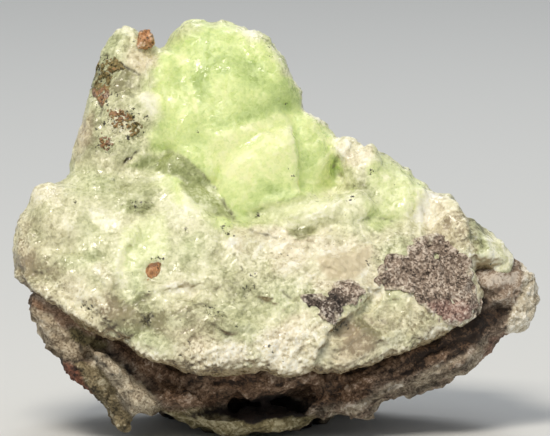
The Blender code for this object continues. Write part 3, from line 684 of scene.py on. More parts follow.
# %% [markdown]
# ## Zones
#
# Prehnite is never one colour. The dome glows yellow-green, the face is greyer, veins and bruised
# edges are milky, and cream films lie between. Each zone is an outline or an oval on the front. Its
# edge is made to wander with the same noise as the relief, and the result is kept on the mesh as a
# number from 0 to 1 that the material reads.

# %% Zone functions
def smooth(value):
    """0 to 1 with a soft start and end."""
    value = np.clip(value, 0, 1)
    return value * value * (3 - 2 * value)


def inside(points, outline):
    """Distance to an outline, positive inside: a point is inside when a line to its right crosses oddly often."""
    corners = np.array(outline, float)
    best = np.full(len(points), np.inf)
    odd = np.zeros(len(points), bool)
    for start, end in zip(corners, np.roll(corners, -1, axis=0)):
        run = end - start
        along = np.clip((points - start) @ run / (run @ run), 0, 1)
        off = points - start - along[:, None] * run
        best = np.minimum(best, np.hypot(off[:, 0], off[:, 1]))
        if run[1]:
            straddles = (start[1] > points[:, 1]) != (end[1] > points[:, 1])
            crossing = start[0] + (points[:, 1] - start[1]) * run[0] / run[1]
            odd ^= straddles & (points[:, 0] < crossing)
    return np.where(odd, best, -best)


def zone(points, outline, soft):
    return smooth(0.5 + inside(points, outline) / (2 * soft))


def wandering(drawn, far, size, seed):
    """The front places moved about by noise, so that a zone's edge wanders."""
    move = np.stack([uneven(drawn, size, seed), uneven(drawn, size, seed + 7)], axis=-1)
    return drawn[:, :2] + far * move


def keep(mesh, name, value):
    """Stores one number per point under a name that the material can read."""
    attribute = mesh.attributes.new(name, "FLOAT", "POINT")
    attribute.data.foreach_set("value", np.clip(value, -2, 2).astype(np.float32))


# %% Outlines of the colours in the prehnite
BRIGHT_PATCH = [
    (-8.7, 45.4), (-4.0, 46.8), (0.3, 48.2), (2.4, 48.2), (2.6, 45.4), (2.8, 43.8), (3.4, 41.3),
    (2.4, 39.9), (3.7, 38.6), (3.8, 36.7), (1.4, 37.2), (-1.4, 38.6), (-2.4, 39.9), (-3.8, 38.6),
    (-6.7, 38.4), (-8.7, 39.9), (-10.4, 41.0), (-10.6, 43.0),
]
RIGHT_FACET = [
    (2.8, 46.8), (5.2, 47.6), (8.7, 42.2), (9.0, 39.9), (8.3, 37.2), (4.9, 36.1), (3.8, 37.8),
    (3.4, 41.3), (2.8, 43.8),
]
VALLEY = [
    (-22.5, 40.4), (-19.9, 41.6), (-16.1, 42.7), (-13.6, 41.6), (-10.6, 39.2), (-8.7, 36.4),
    (-6.7, 34.0), (-6.0, 32.3), (-7.8, 32.9), (-9.8, 33.2), (-12.2, 34.7), (-13.9, 37.5),
    (-15.0, 38.9), (-17.7, 39.9), (-19.6, 40.1),
]
GREY_SHADE = [(-3.5, 36.1), (-2.4, 38.4), (0.0, 37.2), (2.4, 35.8), (-0.5, 34.7), (-2.8, 34.6)]
CREST_PINK = [(-22.0, 58.3), (-20.5, 59.4), (-18.2, 58.3), (-17.6, 56.0), (-19.7, 54.5), (-21.9, 55.1)]
DOME_PATCHES = [
    # middle x and w, half sizes, turn and how much darker the glassy places of the dome are
    (-10.9, 52.5, 1.4, 2.2, -5, 1.0),
    (-7.6, 56.0, 2.0, 1.5, -30, 0.8),
    (-3.4, 54.0, 2.8, 2.6, 20, 0.7),
    (1.5, 51.2, 2.1, 2.4, 30, 1.0),
    (0.6, 37.4, 2.6, 1.5, 15, 0.7),
    (-8.6, 47.6, 2.0, 2.4, 0, 0.5),
    (5.4, 41.6, 1.3, 2.8, 10, 0.6),
]
NODULES = [
    (8.9, 45.0), (9.8, 45.7), (11.8, 45.1), (14.8, 43.5), (14.8, 41.6), (13.0, 40.4), (10.6, 40.4),
    (9.3, 41.9),
]
RIDGE_GLOW = [
    (13.5, 41.5), (15.5, 43.1), (19.1, 40.9), (22.8, 37.6), (23.4, 35.5), (21.0, 32.1), (16.8, 31.5),
    (13.3, 32.3), (12.7, 35.5), (14.8, 36.7),
]
STEP_PALE = [
    (-0.8, 34.6), (2.3, 35.3), (6.6, 36.1), (10.7, 36.7), (13.0, 35.5), (11.8, 32.1), (6.6, 31.2),
    (2.3, 31.5), (-0.8, 33.4),
]
STEP_BELOW = [
    (-4.0, 33.6), (1.2, 35.3), (4.0, 36.1), (8.5, 36.9), (13.6, 36.9), (13.6, 30.5), (3.0, 29.5),
    (-4.0, 29.5),
]
CREAM_BAND = [
    (-7.5, 31.5), (-0.8, 31.5), (3.8, 30.6), (11.0, 30.0), (19.1, 32.0), (25.0, 38.0), (30.0, 32.0),
    (31.0, 25.1), (25.2, 29.4), (19.1, 29.4), (16.1, 27.8), (14.8, 26.0), (14.8, 20.2), (8.4, 21.7),
    (3.8, 24.0), (-2.0, 26.0), (-7.5, 27.8),
]
BEIGE_FACET = [(6.1, 26.6), (11.2, 27.5), (14.8, 28.3), (13.9, 26.0), (11.5, 23.7), (7.5, 23.6)]
LIP_CRUMB = [
    (-14.2, 12.9), (-6.9, 14.1), (-2.0, 15.3), (3.8, 17.4), (6.6, 16.2), (6.3, 12.2), (3.8, 9.2),
    (0.9, 7.8), (-2.0, 9.2), (-6.6, 9.0), (-10.3, 8.2), (-13.3, 9.5),
]
NOTCH = [(11.3, 17.7), (12.7, 18.1), (13.9, 17.1), (15.8, 15.5), (13.3, 15.6), (11.8, 16.5)]
BOWL = [
    (-22.5, 31.2), (-20.7, 32.7), (-16.7, 33.4), (-15.8, 30.6), (-16.4, 27.5), (-17.0, 26.0),
    (-19.7, 26.0), (-21.6, 24.5), (-23.1, 23.3), (-23.6, 26.0),
]
BLADE = [
    (-27.8, 34.6), (-26.2, 34.0), (-24.0, 33.0), (-23.4, 31.5), (-24.9, 30.6), (-27.1, 31.5),
    (-28.3, 33.0),
]
CREAM_LEDGE = [
    (-17.3, 22.3), (-15.8, 23.1), (-13.3, 23.1), (-11.5, 22.2), (-12.1, 21.1), (-14.8, 21.3),
    (-17.0, 21.4),
]
NOSE_ZONE = [
    (-41.0, 26.5), (-40.6, 31.8), (-39.1, 35.2), (-37.3, 38.9), (-32.9, 39.4), (-30.4, 36.1),
    (-29.2, 31.5), (-28.9, 26.0), (-31.4, 21.7), (-35.2, 20.0), (-39.1, 21.9),
]
OLIVE_LEFT = [
    (-26.2, 39.8), (-20.7, 39.5), (-16.8, 38.9), (-16.1, 36.1), (-17.9, 33.7), (-21.6, 33.0),
    (-24.9, 34.9), (-27.1, 37.0),
]
RECESS = [
    (-22.8, 35.0), (-21.3, 35.6), (-18.8, 34.9), (-17.9, 35.8), (-18.4, 33.7), (-20.7, 33.0),
    (-22.5, 33.7),
]
STEP_RECESS = [(2.1, 31.2), (3.8, 31.4), (6.3, 30.9), (6.0, 30.0), (3.8, 29.5), (2.3, 30.0)]
SHOULDER_STRIPE = [
    (29.1, 33.4), (30.3, 33.4), (32.0, 30.0), (32.0, 26.0), (30.8, 25.1), (29.8, 27.8), (29.2, 30.6),
]
SPOTS_OF_TONE_AND_PAINTED_LIGHT = [
    # middle x and w, half sizes, turn, how much lighter: most are the stone's own tone, some are painted highlights
    # and painted shade
    (-11.0, 53.1, 1.5, 2.3, 0, -0.8),
    (-8.1, 55.8, 2.6, 1.8, 0, -0.5),
    (-2.5, 54.5, 3.6, 2.2, -20, -0.5),
    (2.6, 50.4, 2.0, 2.2, 0, -0.6),
    (-4.4, 48.2, 3.6, 0.9, 20, -0.6),
    # painted highlights: two hot spots on the crest
    (-13.9, 56.6, 1.0, 1.0, 0, 0.9),
    (-18.8, 50.0, 1.4, 1.9, 20, 0.9),
    (-13.2, 53.6, 0.5, 3.0, 8, 0.5),
    (-11.9, 49.8, 0.5, 2.2, 0, 0.5),
    (-10.4, 45.4, 0.8, 1.2, 30, 0.7),
    (-5.5, 60.3, 3.0, 1.3, -20, 0.4),
    (-8.0, 52.0, 1.4, 1.6, 0, 0.4),
    (-22.9, 52.8, 2.2, 1.8, 0, -0.6),
    (-22.3, 55.0, 1.5, 1.0, -30, -0.3),
    (-27.5, 46.5, 1.2, 3.0, -10, -0.4),
    # painted highlights: a glint on the front and a hot spot on the nose
    (-6.7, 29.1, 0.8, 0.8, 0, 1.2),
    (-31.0, 31.8, 0.8, 0.9, 30, 1.1),
    (-19.5, 20.8, 1.3, 1.6, 0, -0.8),
    (-12.2, 28.8, 1.5, 2.6, 0, -0.3),
    (-28.0, 27.2, 1.8, 0.7, 0, -0.7),
    (-32.5, 24.8, 1.8, 1.2, 0, -0.6),
    (-24.8, 28.0, 2.0, 1.6, 0, -0.2),
    (-11.0, 17.0, 5.0, 2.0, -10, -0.3),
    (-5.5, 21.0, 2.4, 3.0, 0, -0.3),
    (16.7, 39.0, 0.9, 0.7, 0, 0.9),
    (11.2, 44.0, 1.6, 1.3, 0, 0.8),
    (13.5, 42.0, 1.4, 1.0, 0, 0.7),
    (11.8, 37.4, 2.4, 0.9, 0, -0.9),
    (9.2, 41.4, 0.5, 0.7, 0, -1.2),
    (9.8, 15.6, 1.8, 1.2, 0, -1.0),
    (11.5, 14.6, 3.6, 2.4, 20, -0.4),
    (6.0, 34.2, 6.6, 2.0, 6, 0.55),
    (18.6, 36.6, 4.2, 3.4, -35, 0.45),
    (28.4, 31.0, 2.6, 4.4, -15, -0.45),
    (29.6, 26.4, 1.8, 1.6, 0, 0.9),
    (-15.4, 50.0, 1.8, 5.0, 5, 0.4),
    (-9.5, 60.4, 5.0, 1.8, 0, -0.3),
    (-19.5, 17.0, 6.0, 2.4, -32, -0.6),
    (13.5, 16.0, 4.4, 3.2, 20, -0.6),
    (-26.0, 60.0, 3.0, 3.0, 0, 0.35),
    (-36.0, 26.0, 5.0, 6.0, 0, -0.35),
    (11.4, 12.2, 4.2, 1.8, 20, -0.35),
    (-13.0, 17.2, 5.0, 3.0, 0, -0.25),
    (0.0, 38.0, 4.0, 3.0, 0, -0.25),
    # painted light: lifts the shade below the dome's bulge
    (-4.0, 38.0, 4.2, 3.2, 0, 0.5),
    (10.6, 16.2, 1.6, 1.3, 0, -0.7),
    (31.0, 22.6, 1.2, 4.6, 0, -0.4),
    (-12.2, 35.0, 2.4, 2.0, -50, 0.3),
    (-23.0, 18.6, 5.0, 3.4, -35, -0.8),
    (20.0, 17.4, 5.4, 2.6, 25, -0.3),
    (-2.0, 12.5, 8.0, 2.6, 0, 0.4),
    (-13.7, 33.6, 3.4, 2.2, 0, 0.5),
    (-12.9, 35.4, 0.6, 1.8, 30, 0.5),
    (-22.8, 26.0, 0.6, 2.2, 8, 0.8),
    (-33.0, 28.0, 2.0, 0.5, 8, 0.8),
    (-25.5, 32.2, 1.8, 0.9, -10, 0.5),
    (-35.0, 36.4, 1.8, 1.2, 0, 0.7),
    (-26.2, 25.2, 1.0, 0.8, 0, 0.8),
    (-14.4, 21.9, 2.6, 0.8, -8, 0.7),
    (-15.0, 17.2, 1.3, 0.9, 0, 0.7),
    (30.6, 30.0, 0.9, 3.4, -12, -0.5),
    (33.0, 29.0, 0.9, 3.4, -35, 0.4),
    (32.6, 26.6, 2.4, 1.6, -20, 1.1),
    (22.6, 34.0, 1.8, 3.4, 0, 0.95),
    # painted shade where the nose turns under
    (-36.5, 25.4, 3.4, 1.8, -30, -0.9),
    (-36.0, 30.0, 4.0, 5.0, 0, -0.35),
    (-24.5, 50.0, 5.0, 9.0, -10, -0.45),
    (-23.5, 59.5, 2.5, 2.0, 0, -0.5),
    (-27.8, 42.0, 3.5, 3.5, 0, -0.3),
    # painted light: lifts the shade of a slab that faces away from the light
    (-11.2, 36.4, 2.6, 2.4, 45, 0.9),
    (-13.0, 17.0, 5.0, 3.0, 0, -0.5),
    (-7.5, 24.5, 1.2, 3.4, 35, -0.4),
    (-17.8, 30.3, 1.0, 2.2, -20, 0.5),
    (-21.8, 21.5, 0.9, 2.4, 20, 0.6),
    (-26.0, 20.5, 2.2, 0.5, -35, 0.5),
    (4.5, 27.6, 3.0, 0.6, 5, 0.5),
    (0.5, 28.4, 2.0, 1.0, 0, 0.4),
    (12.8, 24.6, 1.6, 1.0, 30, 0.6),
]

# %% Warmth, sugar and dirt, spot by spot
WARM_SPOTS = [
    # middle x and w, half sizes, turn, then plus for pinkish cream and minus for fresh green
    (-34.4, 36.6, 2.8, 2.0, 0, 0.8),
    (11.4, 12.2, 4.2, 1.8, 20, 0.9),
    (-13.0, 17.2, 5.0, 3.0, 0, 0.6),
    (-38.3, 30.1, 2.2, 5.0, 0, 0.7),
    (-36.7, 26.0, 3.4, 2.8, 0, 0.8),
    (-32.5, 31.0, 3.0, 3.0, 0, 0.4),
    (-28.3, 21.0, 5.5, 2.6, -36, 0.8),
    (-24.3, 22.6, 1.5, 2.5, 0, 0.7),
    (-22.5, 18.2, 3.5, 1.8, -38, 0.7),
    (-26.3, 25.4, 1.3, 1.0, 0, 0.6),
    (-27.5, 26.8, 1.6, 1.3, 0, -0.5),
    (-30.9, 25.6, 1.5, 1.2, 0, -0.3),
    (-20.3, 24.0, 1.2, 3.3, 0, -0.5),
    (-12.2, 28.6, 2.4, 2.4, 0, -0.5),
    (-26.8, 37.8, 4.5, 2.2, 0, -0.4),
    (-18.5, 29.5, 2.6, 3.4, 0, -0.5),
    (-13.7, 33.5, 3.8, 2.6, 0, -0.3),
    (-10.7, 12.4, 4.5, 2.6, 0, 0.9),
    (-19.1, 14.4, 4.2, 2.0, -30, -0.6),
    (-14.5, 17.6, 2.4, 1.2, 0, -0.4),
    (-19.9, 56.6, 2.4, 2.0, 0, 0.9),
    (-23.8, 59.4, 2.0, 2.4, 0, -0.4),
    (-28.8, 45.4, 1.2, 4.4, -16, 1.0),
    (-26.8, 40.9, 2.8, 1.6, 0, 0.4),
    (-23.0, 46.6, 2.6, 2.4, 0, 0.6),
    (-24.0, 51.0, 2.6, 2.4, 0, 0.3),
    (27.5, 30.9, 3.4, 4.4, 0, 0.6),
    (19.0, 17.6, 8.5, 3.2, 25, 0.8),
    (11.0, 15.6, 3.6, 2.8, 20, 1.0),
    (1.5, 15.5, 5.0, 2.6, 20, 0.6),
    (4.0, 29.0, 9.0, 2.6, 4, 0.3),
    (15.0, 21.7, 1.6, 1.3, 0, 1.0),
    (11.5, 11.8, 4.4, 1.6, 10, 0.5),
    (24.5, 16.0, 3.6, 1.2, 30, 0.9),
    (31.0, 22.4, 1.6, 5.0, 0, 1.0),
    (7.4, 13.8, 2.4, 1.8, 30, 0.4),
    (0.8, 20.4, 2.4, 2.6, 0, -0.3),
]
SUGAR_SPOTS = [
    # middle x and w, half sizes, turn, how much of the stone is loose grains
    (-24.0, 17.8, 5.0, 1.6, -38, 0.9),
    (-32.5, 22.5, 4.0, 1.4, -28, 0.6),
    (-10.5, 12.5, 4.6, 2.8, 0, 0.8),
    (-38.4, 29.5, 1.8, 6.0, 0, 0.7),
    (-25.8, 24.6, 1.8, 1.6, 0, 0.6),
    (17.5, 28.5, 4.0, 1.5, 35, 0.8),
    (13.8, 21.0, 2.2, 2.0, 0, 0.9),
    (5.6, 22.2, 2.8, 0.9, 15, 0.9),
    (21.0, 16.8, 5.0, 1.4, 32, 0.8),
    (6.5, 16.4, 3.4, 1.8, 30, 0.7),
    (11.9, 43.6, 3.0, 2.4, -30, 0.25),
    (31.0, 26.5, 2.0, 2.6, 0, 0.9),
    (28.2, 31.5, 2.6, 4.6, 0, 0.4),
    (-1.0, 24.5, 3.0, 5.0, 25, 0.6),
    (-27.0, 38.8, 3.0, 1.2, 30, 0.4),
    (-34.4, 36.6, 2.6, 1.6, 0, 0.5),
    (-22.8, 46.4, 3.4, 3.0, 0, 0.4),
]
GRIME_SPOTS = [
    # middle x and w, half sizes, turn, how thick the flecks lie
    (-27.8, 19.4, 1.5, 0.7, -40, 0.75),
    (-19.1, 17.4, 1.2, 1.2, 0, 0.8),
    (-9.3, 18.7, 1.5, 0.6, -20, 0.7),
    (-7.6, 31.2, 1.4, 0.6, -30, 0.75),
    (-17.5, 26.6, 1.1, 0.5, 0, 0.9),
    (-2.6, 33.0, 0.5, 0.4, 0, 1.2),
    (11.6, 35.6, 0.6, 0.4, 0, 1.2),
    (14.4, 40.2, 0.5, 0.5, 0, 1.0),
    (-13.2, 30.9, 0.4, 0.4, 0, 1.0),
    (-26.0, 53.4, 1.8, 4.6, 10, 0.7),
    (-22.3, 46.8, 2.6, 2.4, 0, 0.7),
    (-25.6, 44.0, 1.6, 1.6, 0, 0.6),
    (-20.6, 34.4, 2.2, 0.8, 0, 0.7),
    (9.5, 16.4, 1.2, 1.0, 0, 0.8),
    (16.0, 17.5, 0.5, 0.5, 0, 1.0),
    (-2.9, 24.2, 0.5, 0.5, 0, 1.1),
    (3.0, 27.5, 3.0, 0.4, 5, 0.3),
    (-4.0, 22.0, 1.2, 1.0, 40, 0.6),
    (16.0, 26.6, 2.4, 0.4, 8, 0.5),
    (-12.0, 13.0, 2.4, 1.4, 0, 0.08),
    (0.5, 12.5, 3.0, 1.6, 0, 0.08),
]
CRACKS = [
    # path, how dark
    ([(-22.5, 41.0), (-22.1, 41.7), (-21.6, 41.8), (-21.1, 42.4), (-20.5, 42.8)], 1.0),
    ([(-22.8, 55.7), (-22.0, 55.0), (-20.9, 54.5), (-20.5, 54.2)], 0.9),
    ([(-13.2, 20.3), (-10.5, 19.7), (-8.4, 18.8), (-7.2, 18.0)], 0.5),
    ([(-6.1, 27.2), (-4.1, 23.6), (-1.5, 19.7)], 0.5),
    ([(12.9, 32.6), (15.0, 32.8), (19.0, 32.0)], 0.4),
    ([(-11.6, 40.2), (-9.0, 37.3), (-7.2, 34.4), (-6.2, 32.6), (-3.1, 30.6), (1.4, 29.4)], 0.5),
    ([(11.3, 17.9), (8.9, 15.7), (7.2, 13.6), (6.4, 11.2), (5.1, 9.6)], 0.6),
    ([(0.0, 23.6), (1.6, 21.4), (3.4, 20.2)], 0.5),
    ([(-2.0, 34.0), (1.2, 35.3), (3.8, 36.0)], 0.3),
    ([(2.3, 30.0), (6.0, 30.1), (8.6, 30.9)], 0.4),
    ([(8.7, 40.0), (9.2, 41.6), (9.0, 43.0)], 0.5),
    ([(-28.8, 20.2), (-28.0, 19.5), (-27.0, 19.2), (-26.4, 18.3)], 1.0),
    ([(-28.2, 20.8), (-28.0, 19.5)], 0.9),
    ([(-19.9, 18.3), (-19.2, 17.5), (-18.6, 16.4)], 1.0),
    ([(-19.8, 16.6), (-19.2, 17.5), (-18.1, 17.9)], 1.0),
    ([(-20.2, 17.2), (-19.2, 17.5), (-18.4, 18.6)], 0.9),
    ([(-27.4, 20.4), (-27.0, 19.2)], 0.8),
    ([(-26.4, 56.8), (-25.2, 57.2), (-24.2, 56.6), (-23.2, 55.8)], 0.8),
    ([(-26.6, 50.4), (-25.8, 49.2), (-26.2, 48.0)], 0.8),
    ([(-23.6, 49.2), (-22.4, 48.6), (-21.4, 47.2)], 0.7),
]
WHITE_LINES_AND_GLINTS = [
    # path, how light: partly milky veins and bruised edges, partly painted glints
    ([(-15.3, 42.1), (-13.5, 41.2), (-11.0, 38.5), (-8.5, 35.3), (-6.5, 32.8)], 0.8),
    ([(-17.9, 39.6), (-16.4, 36.8), (-15.2, 34.0), (-14.6, 31.6)], 0.6),
    ([(-22.4, 34.4), (-23.4, 31.4), (-23.9, 27.6), (-23.4, 23.4)], 0.9),
    ([(-26.8, 34.0), (-24.6, 33.2), (-23.2, 32.0)], 0.8),
    ([(3.7, 37.0), (3.3, 39.8), (3.0, 41.6), (2.7, 44.0), (2.4, 46.8)], 0.8),
    ([(-13.4, 56.4), (-12.6, 53.2), (-12.2, 50.4), (-11.6, 47.4)], 0.7),
    ([(-14.4, 33.6), (-12.0, 34.6), (-10.2, 33.0)], 0.6),
    ([(6.0, 27.0), (9.6, 28.2), (14.6, 29.2), (18.8, 29.8)], 0.7),
    ([(-18.6, 21.4), (-14.8, 20.6), (-11.4, 18.8), (-8.0, 16.6)], 0.5),
    ([(9.4, 45.2), (9.6, 42.6), (11.0, 40.4)], 0.7),
    ([(10.6, 18.6), (8.6, 16.2), (6.6, 13.6), (5.4, 10.8)], 0.7),
    ([(11.5, 18.0), (13.4, 17.4), (16.1, 15.7)], 0.5),
    ([(-5.8, 58.6), (-2.6, 56.0), (-2.2, 52.6), (-3.4, 49.6)], 0.5),
    ([(-13.8, 60.0), (-13.4, 57.0), (-14.6, 54.0)], 0.6),
    ([(-16.4, 57.8), (-13.6, 56.6), (-10.8, 57.4)], 0.6),
    ([(20.8, 38.8), (22.0, 34.6), (21.6, 30.4)], 0.6),
    ([(24.2, 36.4), (26.6, 32.6), (26.8, 29.6)], 0.6),
    ([(30.4, 31.0), (32.2, 28.4), (33.0, 26.2)], 0.6),
    ([(-27.6, 22.8), (-23.6, 18.6), (-18.8, 15.0), (-14.0, 13.4)], 0.5),
]
print(len(SPOTS_OF_TONE_AND_PAINTED_LIGHT) + len(WARM_SPOTS) + len(SUGAR_SPOTS) + len(GRIME_SPOTS), "spots,", len(CRACKS), "cracks")

# %% [markdown]
# ## The fine break
#
# Last comes what a fingertip feels: flakes of 3.6 and 1.7 mm, loose grains along the lip and on the
# rim of the dome, and the ribs of the fibres on the ridge and the nose. A flake's own random number
# also makes it a little lighter or darker, and some of its borders are bruised white. The patchy
# white on the dome's rim and along the white lines is partly painted glints.

# %% Fine relief on the prehnite
RIM = [(-4.6, 61.2), (-0.8, 59.2), (2.0, 55.4), (4.2, 50.8), (5.4, 48.2), (8.2, 44.6), (9.4, 41.0)]
LIP = [
    (-39.5, 24.5), (-35.4, 21.9), (-32.0, 19.0), (-28.0, 16.4), (-23.2, 13.6), (-17.4, 11.0),
    (-11.6, 9.6), (-6.6, 9.6), (-2.3, 9.6), (0.9, 8.0), (4.7, 9.8), (10.2, 9.5), (16.2, 11.3),
    (21.7, 14.4), (26.8, 15.8), (30.3, 18.2),
]


def fibres(points, across, along, turn, seed):
    """Ribs: noise that changes quickly across the fibres and slowly along them."""
    turn = np.radians(turn)
    a = points[:, 0] * np.cos(turn) + points[:, 1] * np.sin(turn)
    b = points[:, 1] * np.cos(turn) - points[:, 0] * np.sin(turn)
    stretched = np.stack([a / across, b / along, points[:, 2] / along], axis=-1)
    return uneven(stretched, 1.0, seed)


def near_paths(points, rows, width):
    """The largest strength of the paths at each point, falling off with the distance as a bell."""
    found = np.zeros(len(points))
    for path, strength in rows:
        away, _ = from_path(points, path)
        found = np.maximum(found, strength * np.exp(-((away / width) ** 2)))
    return found


def fine_break(mesh):
    """Pushes flakes, grains and ribs out of the skin. Returns how light it is, painted glints included, and how
    sugary it is.
    """
    drawn = pick_up(read_points(mesh))
    flat = drawn[:, :2]
    calm = np.maximum(zone(flat, DOME, 2.0), 0.6 * zone(flat, RIDGE_GLOW, 1.5))
    calm = np.maximum(calm, 0.8 * np.clip(ovals(flat, CALM_SPOTS), 0, 1)) * (1 - behind(drawn))
    rim = near_paths(flat, [(RIM, 1.0)], 0.9)
    lip = near_paths(flat, [(LIP, 0.9)], 1.2)
    sugary = np.maximum.reduce([rim, lip, zone(flat, LIP_CRUMB, 1.5), ovals(flat, SUGAR_SPOTS)])
    ribbed = zone(flat, RIDGE, 2.0) * smooth((flat[:, 0] - 17) / 3)
    ribbed = np.maximum(ribbed, zone(flat, SHOULDER, 1.5))
    bent = drawn.copy()
    bent[:, 0] += 1.4 * uneven(drawn, 5.0, 351)
    bent[:, 1] += 1.4 * uneven(drawn, 5.0, 361) - 0.35 * drawn[:, 0]
    large, large_border, large_pick = chips_of(bent * (0.75, 1.0, 1.0), 3.6, 301, 0.05)
    small, small_border, small_pick = chips_of(bent * (0.75, 1.0, 1.0), 1.7, 311, 0.08)
    plates, _, plate_pick = chips_of(bent, 5.5, 371, 0.3)
    sheaves = fibres(bent, 0.5, 3.0, 180 * large_pick, 345)
    grit = crumbs(drawn, 0.7, 321)
    ribs = fibres(drawn, 0.7, 6.0, 10.0, 331)
    rise = (0.32 - 0.2 * calm) * large + (0.15 - 0.11 * calm) * small + 0.35 * calm * plates
    rise += (0.05 - 0.03 * calm) * shards(drawn, 0.8, 315) + 0.09 * (1 - calm) * sheaves
    rise += sugary * (0.2 * grit + 0.14 * shards(drawn, 0.6, 325)) + 0.26 * ribbed * ribs
    rise += 0.15 * zone(flat, NOSE_ZONE, 2.0) * fibres(drawn, 0.6, 4.0, -8.0, 341)
    rise += behind(drawn) * (0.9 * shards(drawn, 4.5, 381, 0.05) + 0.35 * large)
    rise -= 0.25 * near_paths(flat, CRACKS, 0.35) * facing(mesh)
    push(mesh, rise)
    bruised = np.exp(-((large_border / 0.2) ** 2)) * (large_pick > 0.5)
    bruised += 0.6 * np.exp(-((small_border / 0.15) ** 2)) * (small_pick > 0.65)
    light = (0.45 - 0.35 * calm) * (large_pick - 0.5) + (0.35 - 0.27 * calm) * (small_pick - 0.5)
    light += 0.45 * calm * (plate_pick - 0.5) + (0.25 - 0.17 * calm) * sheaves
    light += (0.4 - 0.25 * calm) * bruised + sugary * (0.3 * grit - 0.12)
    # painted glints: patchy white along the dome's rim, which also has real white grains
    light += 0.3 * ribbed * ribs + 1.1 * rim * smooth(0.5 + 1.4 * uneven(drawn, 1.1, 329))
    # painted glints along the white lines, which are partly real milky lines
    light += 0.9 * near_paths(flat, WHITE_LINES_AND_GLINTS, 0.24) * smooth(0.6 + 1.2 * uneven(drawn, 0.8, 333))
    return light, sugary


flake_tone_and_glints, sugary = fine_break(prehnite.data)
print("flakes change the light by", flake_tone_and_glints.min().round(2), "to", flake_tone_and_glints.max().round(2))

# %% Store the zones of the prehnite
drawn = pick_up(read_points(prehnite.data))
near = wandering(drawn, 0.45, 2.0, 201) + wandering(drawn, 0.3, 0.7, 211) - drawn[:, :2]
loose = wandering(drawn, 1.6, 4.0, 221) + wandering(drawn, 0.9, 1.3, 231) - drawn[:, :2]
front = 1 - behind(drawn, 10.0, 18.0)

glow = np.maximum.reduce([
    zone(loose, DOME, 2.0),
    zone(loose, DOME_RIGHT, 1.0),
    zone(near, DOME_SIDE, 0.5),
    0.6 * zone(loose, RIDGE_GLOW, 1.4),
    0.35 * zone(loose, STEP_PALE, 1.0),
    0.4 * zone(near, BOWL, 0.8),
])
glow *= (1 - zone(near, VALLEY, 0.5)) * (1 - 0.65 * zone(near, STEP_BELOW, 0.8))
glow *= 1 - behind(drawn) * smooth(0.45 + uneven(drawn, 5.0, 285))
radial = 0.5 + 0.5 * fibres(drawn, 0.5, 4.0, 60.0, 271)
# the tone holds painted highlights, glints and shade as well as the stone's own tone
tone = flake_tone_and_glints + front * ovals(near, SPOTS_OF_TONE_AND_PAINTED_LIGHT)
tone += 0.6 * zone(near, BRIGHT_PATCH, 0.25) + 0.1 * zone(near, RIGHT_FACET, 0.25)
tone -= 0.5 * zone(near, GREY_SHADE, 0.5)
tone -= 0.38 * smooth((ovals(near, DOME_PATCHES) - 0.3) / 0.22) * glow
tone *= 1 - 0.45 * np.clip(ovals(near, CALM_SPOTS), 0, 1)
tone += 0.5 * zone(near, BLADE, 0.3) + 0.3 * zone(near, BOWL, 0.4) - 0.1 * zone(near, VALLEY, 0.5)
# painted shade: the recesses and the notch are darkened
tone -= 0.4 * (zone(near, RECESS, 0.4) + zone(near, STEP_RECESS, 0.3) + zone(near, NOTCH, 0.4))
# painted highlights, streaked by radiating fibres, on the crest
tone += front * radial * ovals(near, [(-18.6, 51.0, 1.8, 2.2, 20, 0.9), (-23.4, 59.8, 2.2, 2.2, 40, 0.4)])
olive = np.maximum.reduce([
    zone(near, VALLEY, 0.5),
    0.35 * zone(loose, OLIVE_LEFT, 0.8),
    # the recesses and the notch: olive stone, with painted shade in them
    0.6 * zone(near, RECESS, 0.4),
    0.55 * zone(near, STEP_RECESS, 0.3),
    0.5 * zone(near, NOTCH, 0.4),
    0.6 * zone(near, SHOULDER_STRIPE, 0.4),
])
cream = np.maximum.reduce([
    0.9 * zone(loose, CREAM_BAND, 1.4),
    zone(loose, LIP_CRUMB, 1.0),
    0.9 * zone(near, NODULES, 0.4),
    0.5 * zone(near, CREAM_LEDGE, 0.3),
    0.6 * zone(near, CREST_PINK, 0.4),
    0.8 * near_paths(near, [(LIP, 1.0)], 1.6),
])
cream *= 1 - 0.6 * smooth(0.5 + 1.2 * uneven(drawn, 3.0, 281)) * (1 - glow)
warm = ovals(near, WARM_SPOTS) + 0.35 * uneven(drawn, 4.5, 291) + 0.15 * uneven(drawn, 1.6, 295)
# painted shade, partly real dirt: skin below w 30 that faces down is browned, and the broken back is browned as soil
dirt_and_underside_shade = smooth((-(read_normals(prehnite.data) @ UP) - 0.25) / 0.5) * (drawn[:, 1] < 30)
dirt_and_underside_shade = np.maximum(dirt_and_underside_shade, behind(drawn, 12.0, 24.0) * smooth(0.5 + uneven(drawn, 6.0, 261)))
crack = 1.4 * near_paths((near + drawn[:, :2]) / 2, CRACKS, 0.18) * front
crack *= smooth(0.45 + 1.2 * uneven(drawn, 0.7, 265))
for name, value in (
    ("glow", glow), ("tone", tone), ("olive", olive), ("cream", cream), ("warm", warm),
    ("sugar", np.clip(sugary + 0.35 * cream, 0, 1)), ("dirt_and_underside_shade", dirt_and_underside_shade), ("crack", crack),
    ("grime", ovals(near, GRIME_SPOTS)), ("beige", zone(near, BEIGE_FACET, 0.5)),
):
    keep(prehnite.data, name, value)
print("glowing share of the points:", round(float(glow.mean()), 2))

# %% [markdown]
# ## The skin of the rock
#
# Basalt breaks into angular chips. Three sizes of them are pushed out, with their own random
# numbers kept as tone, so that neighbouring chips differ as they do where lava has split. The rock
# under the lip is split in layers that run along the ledge.

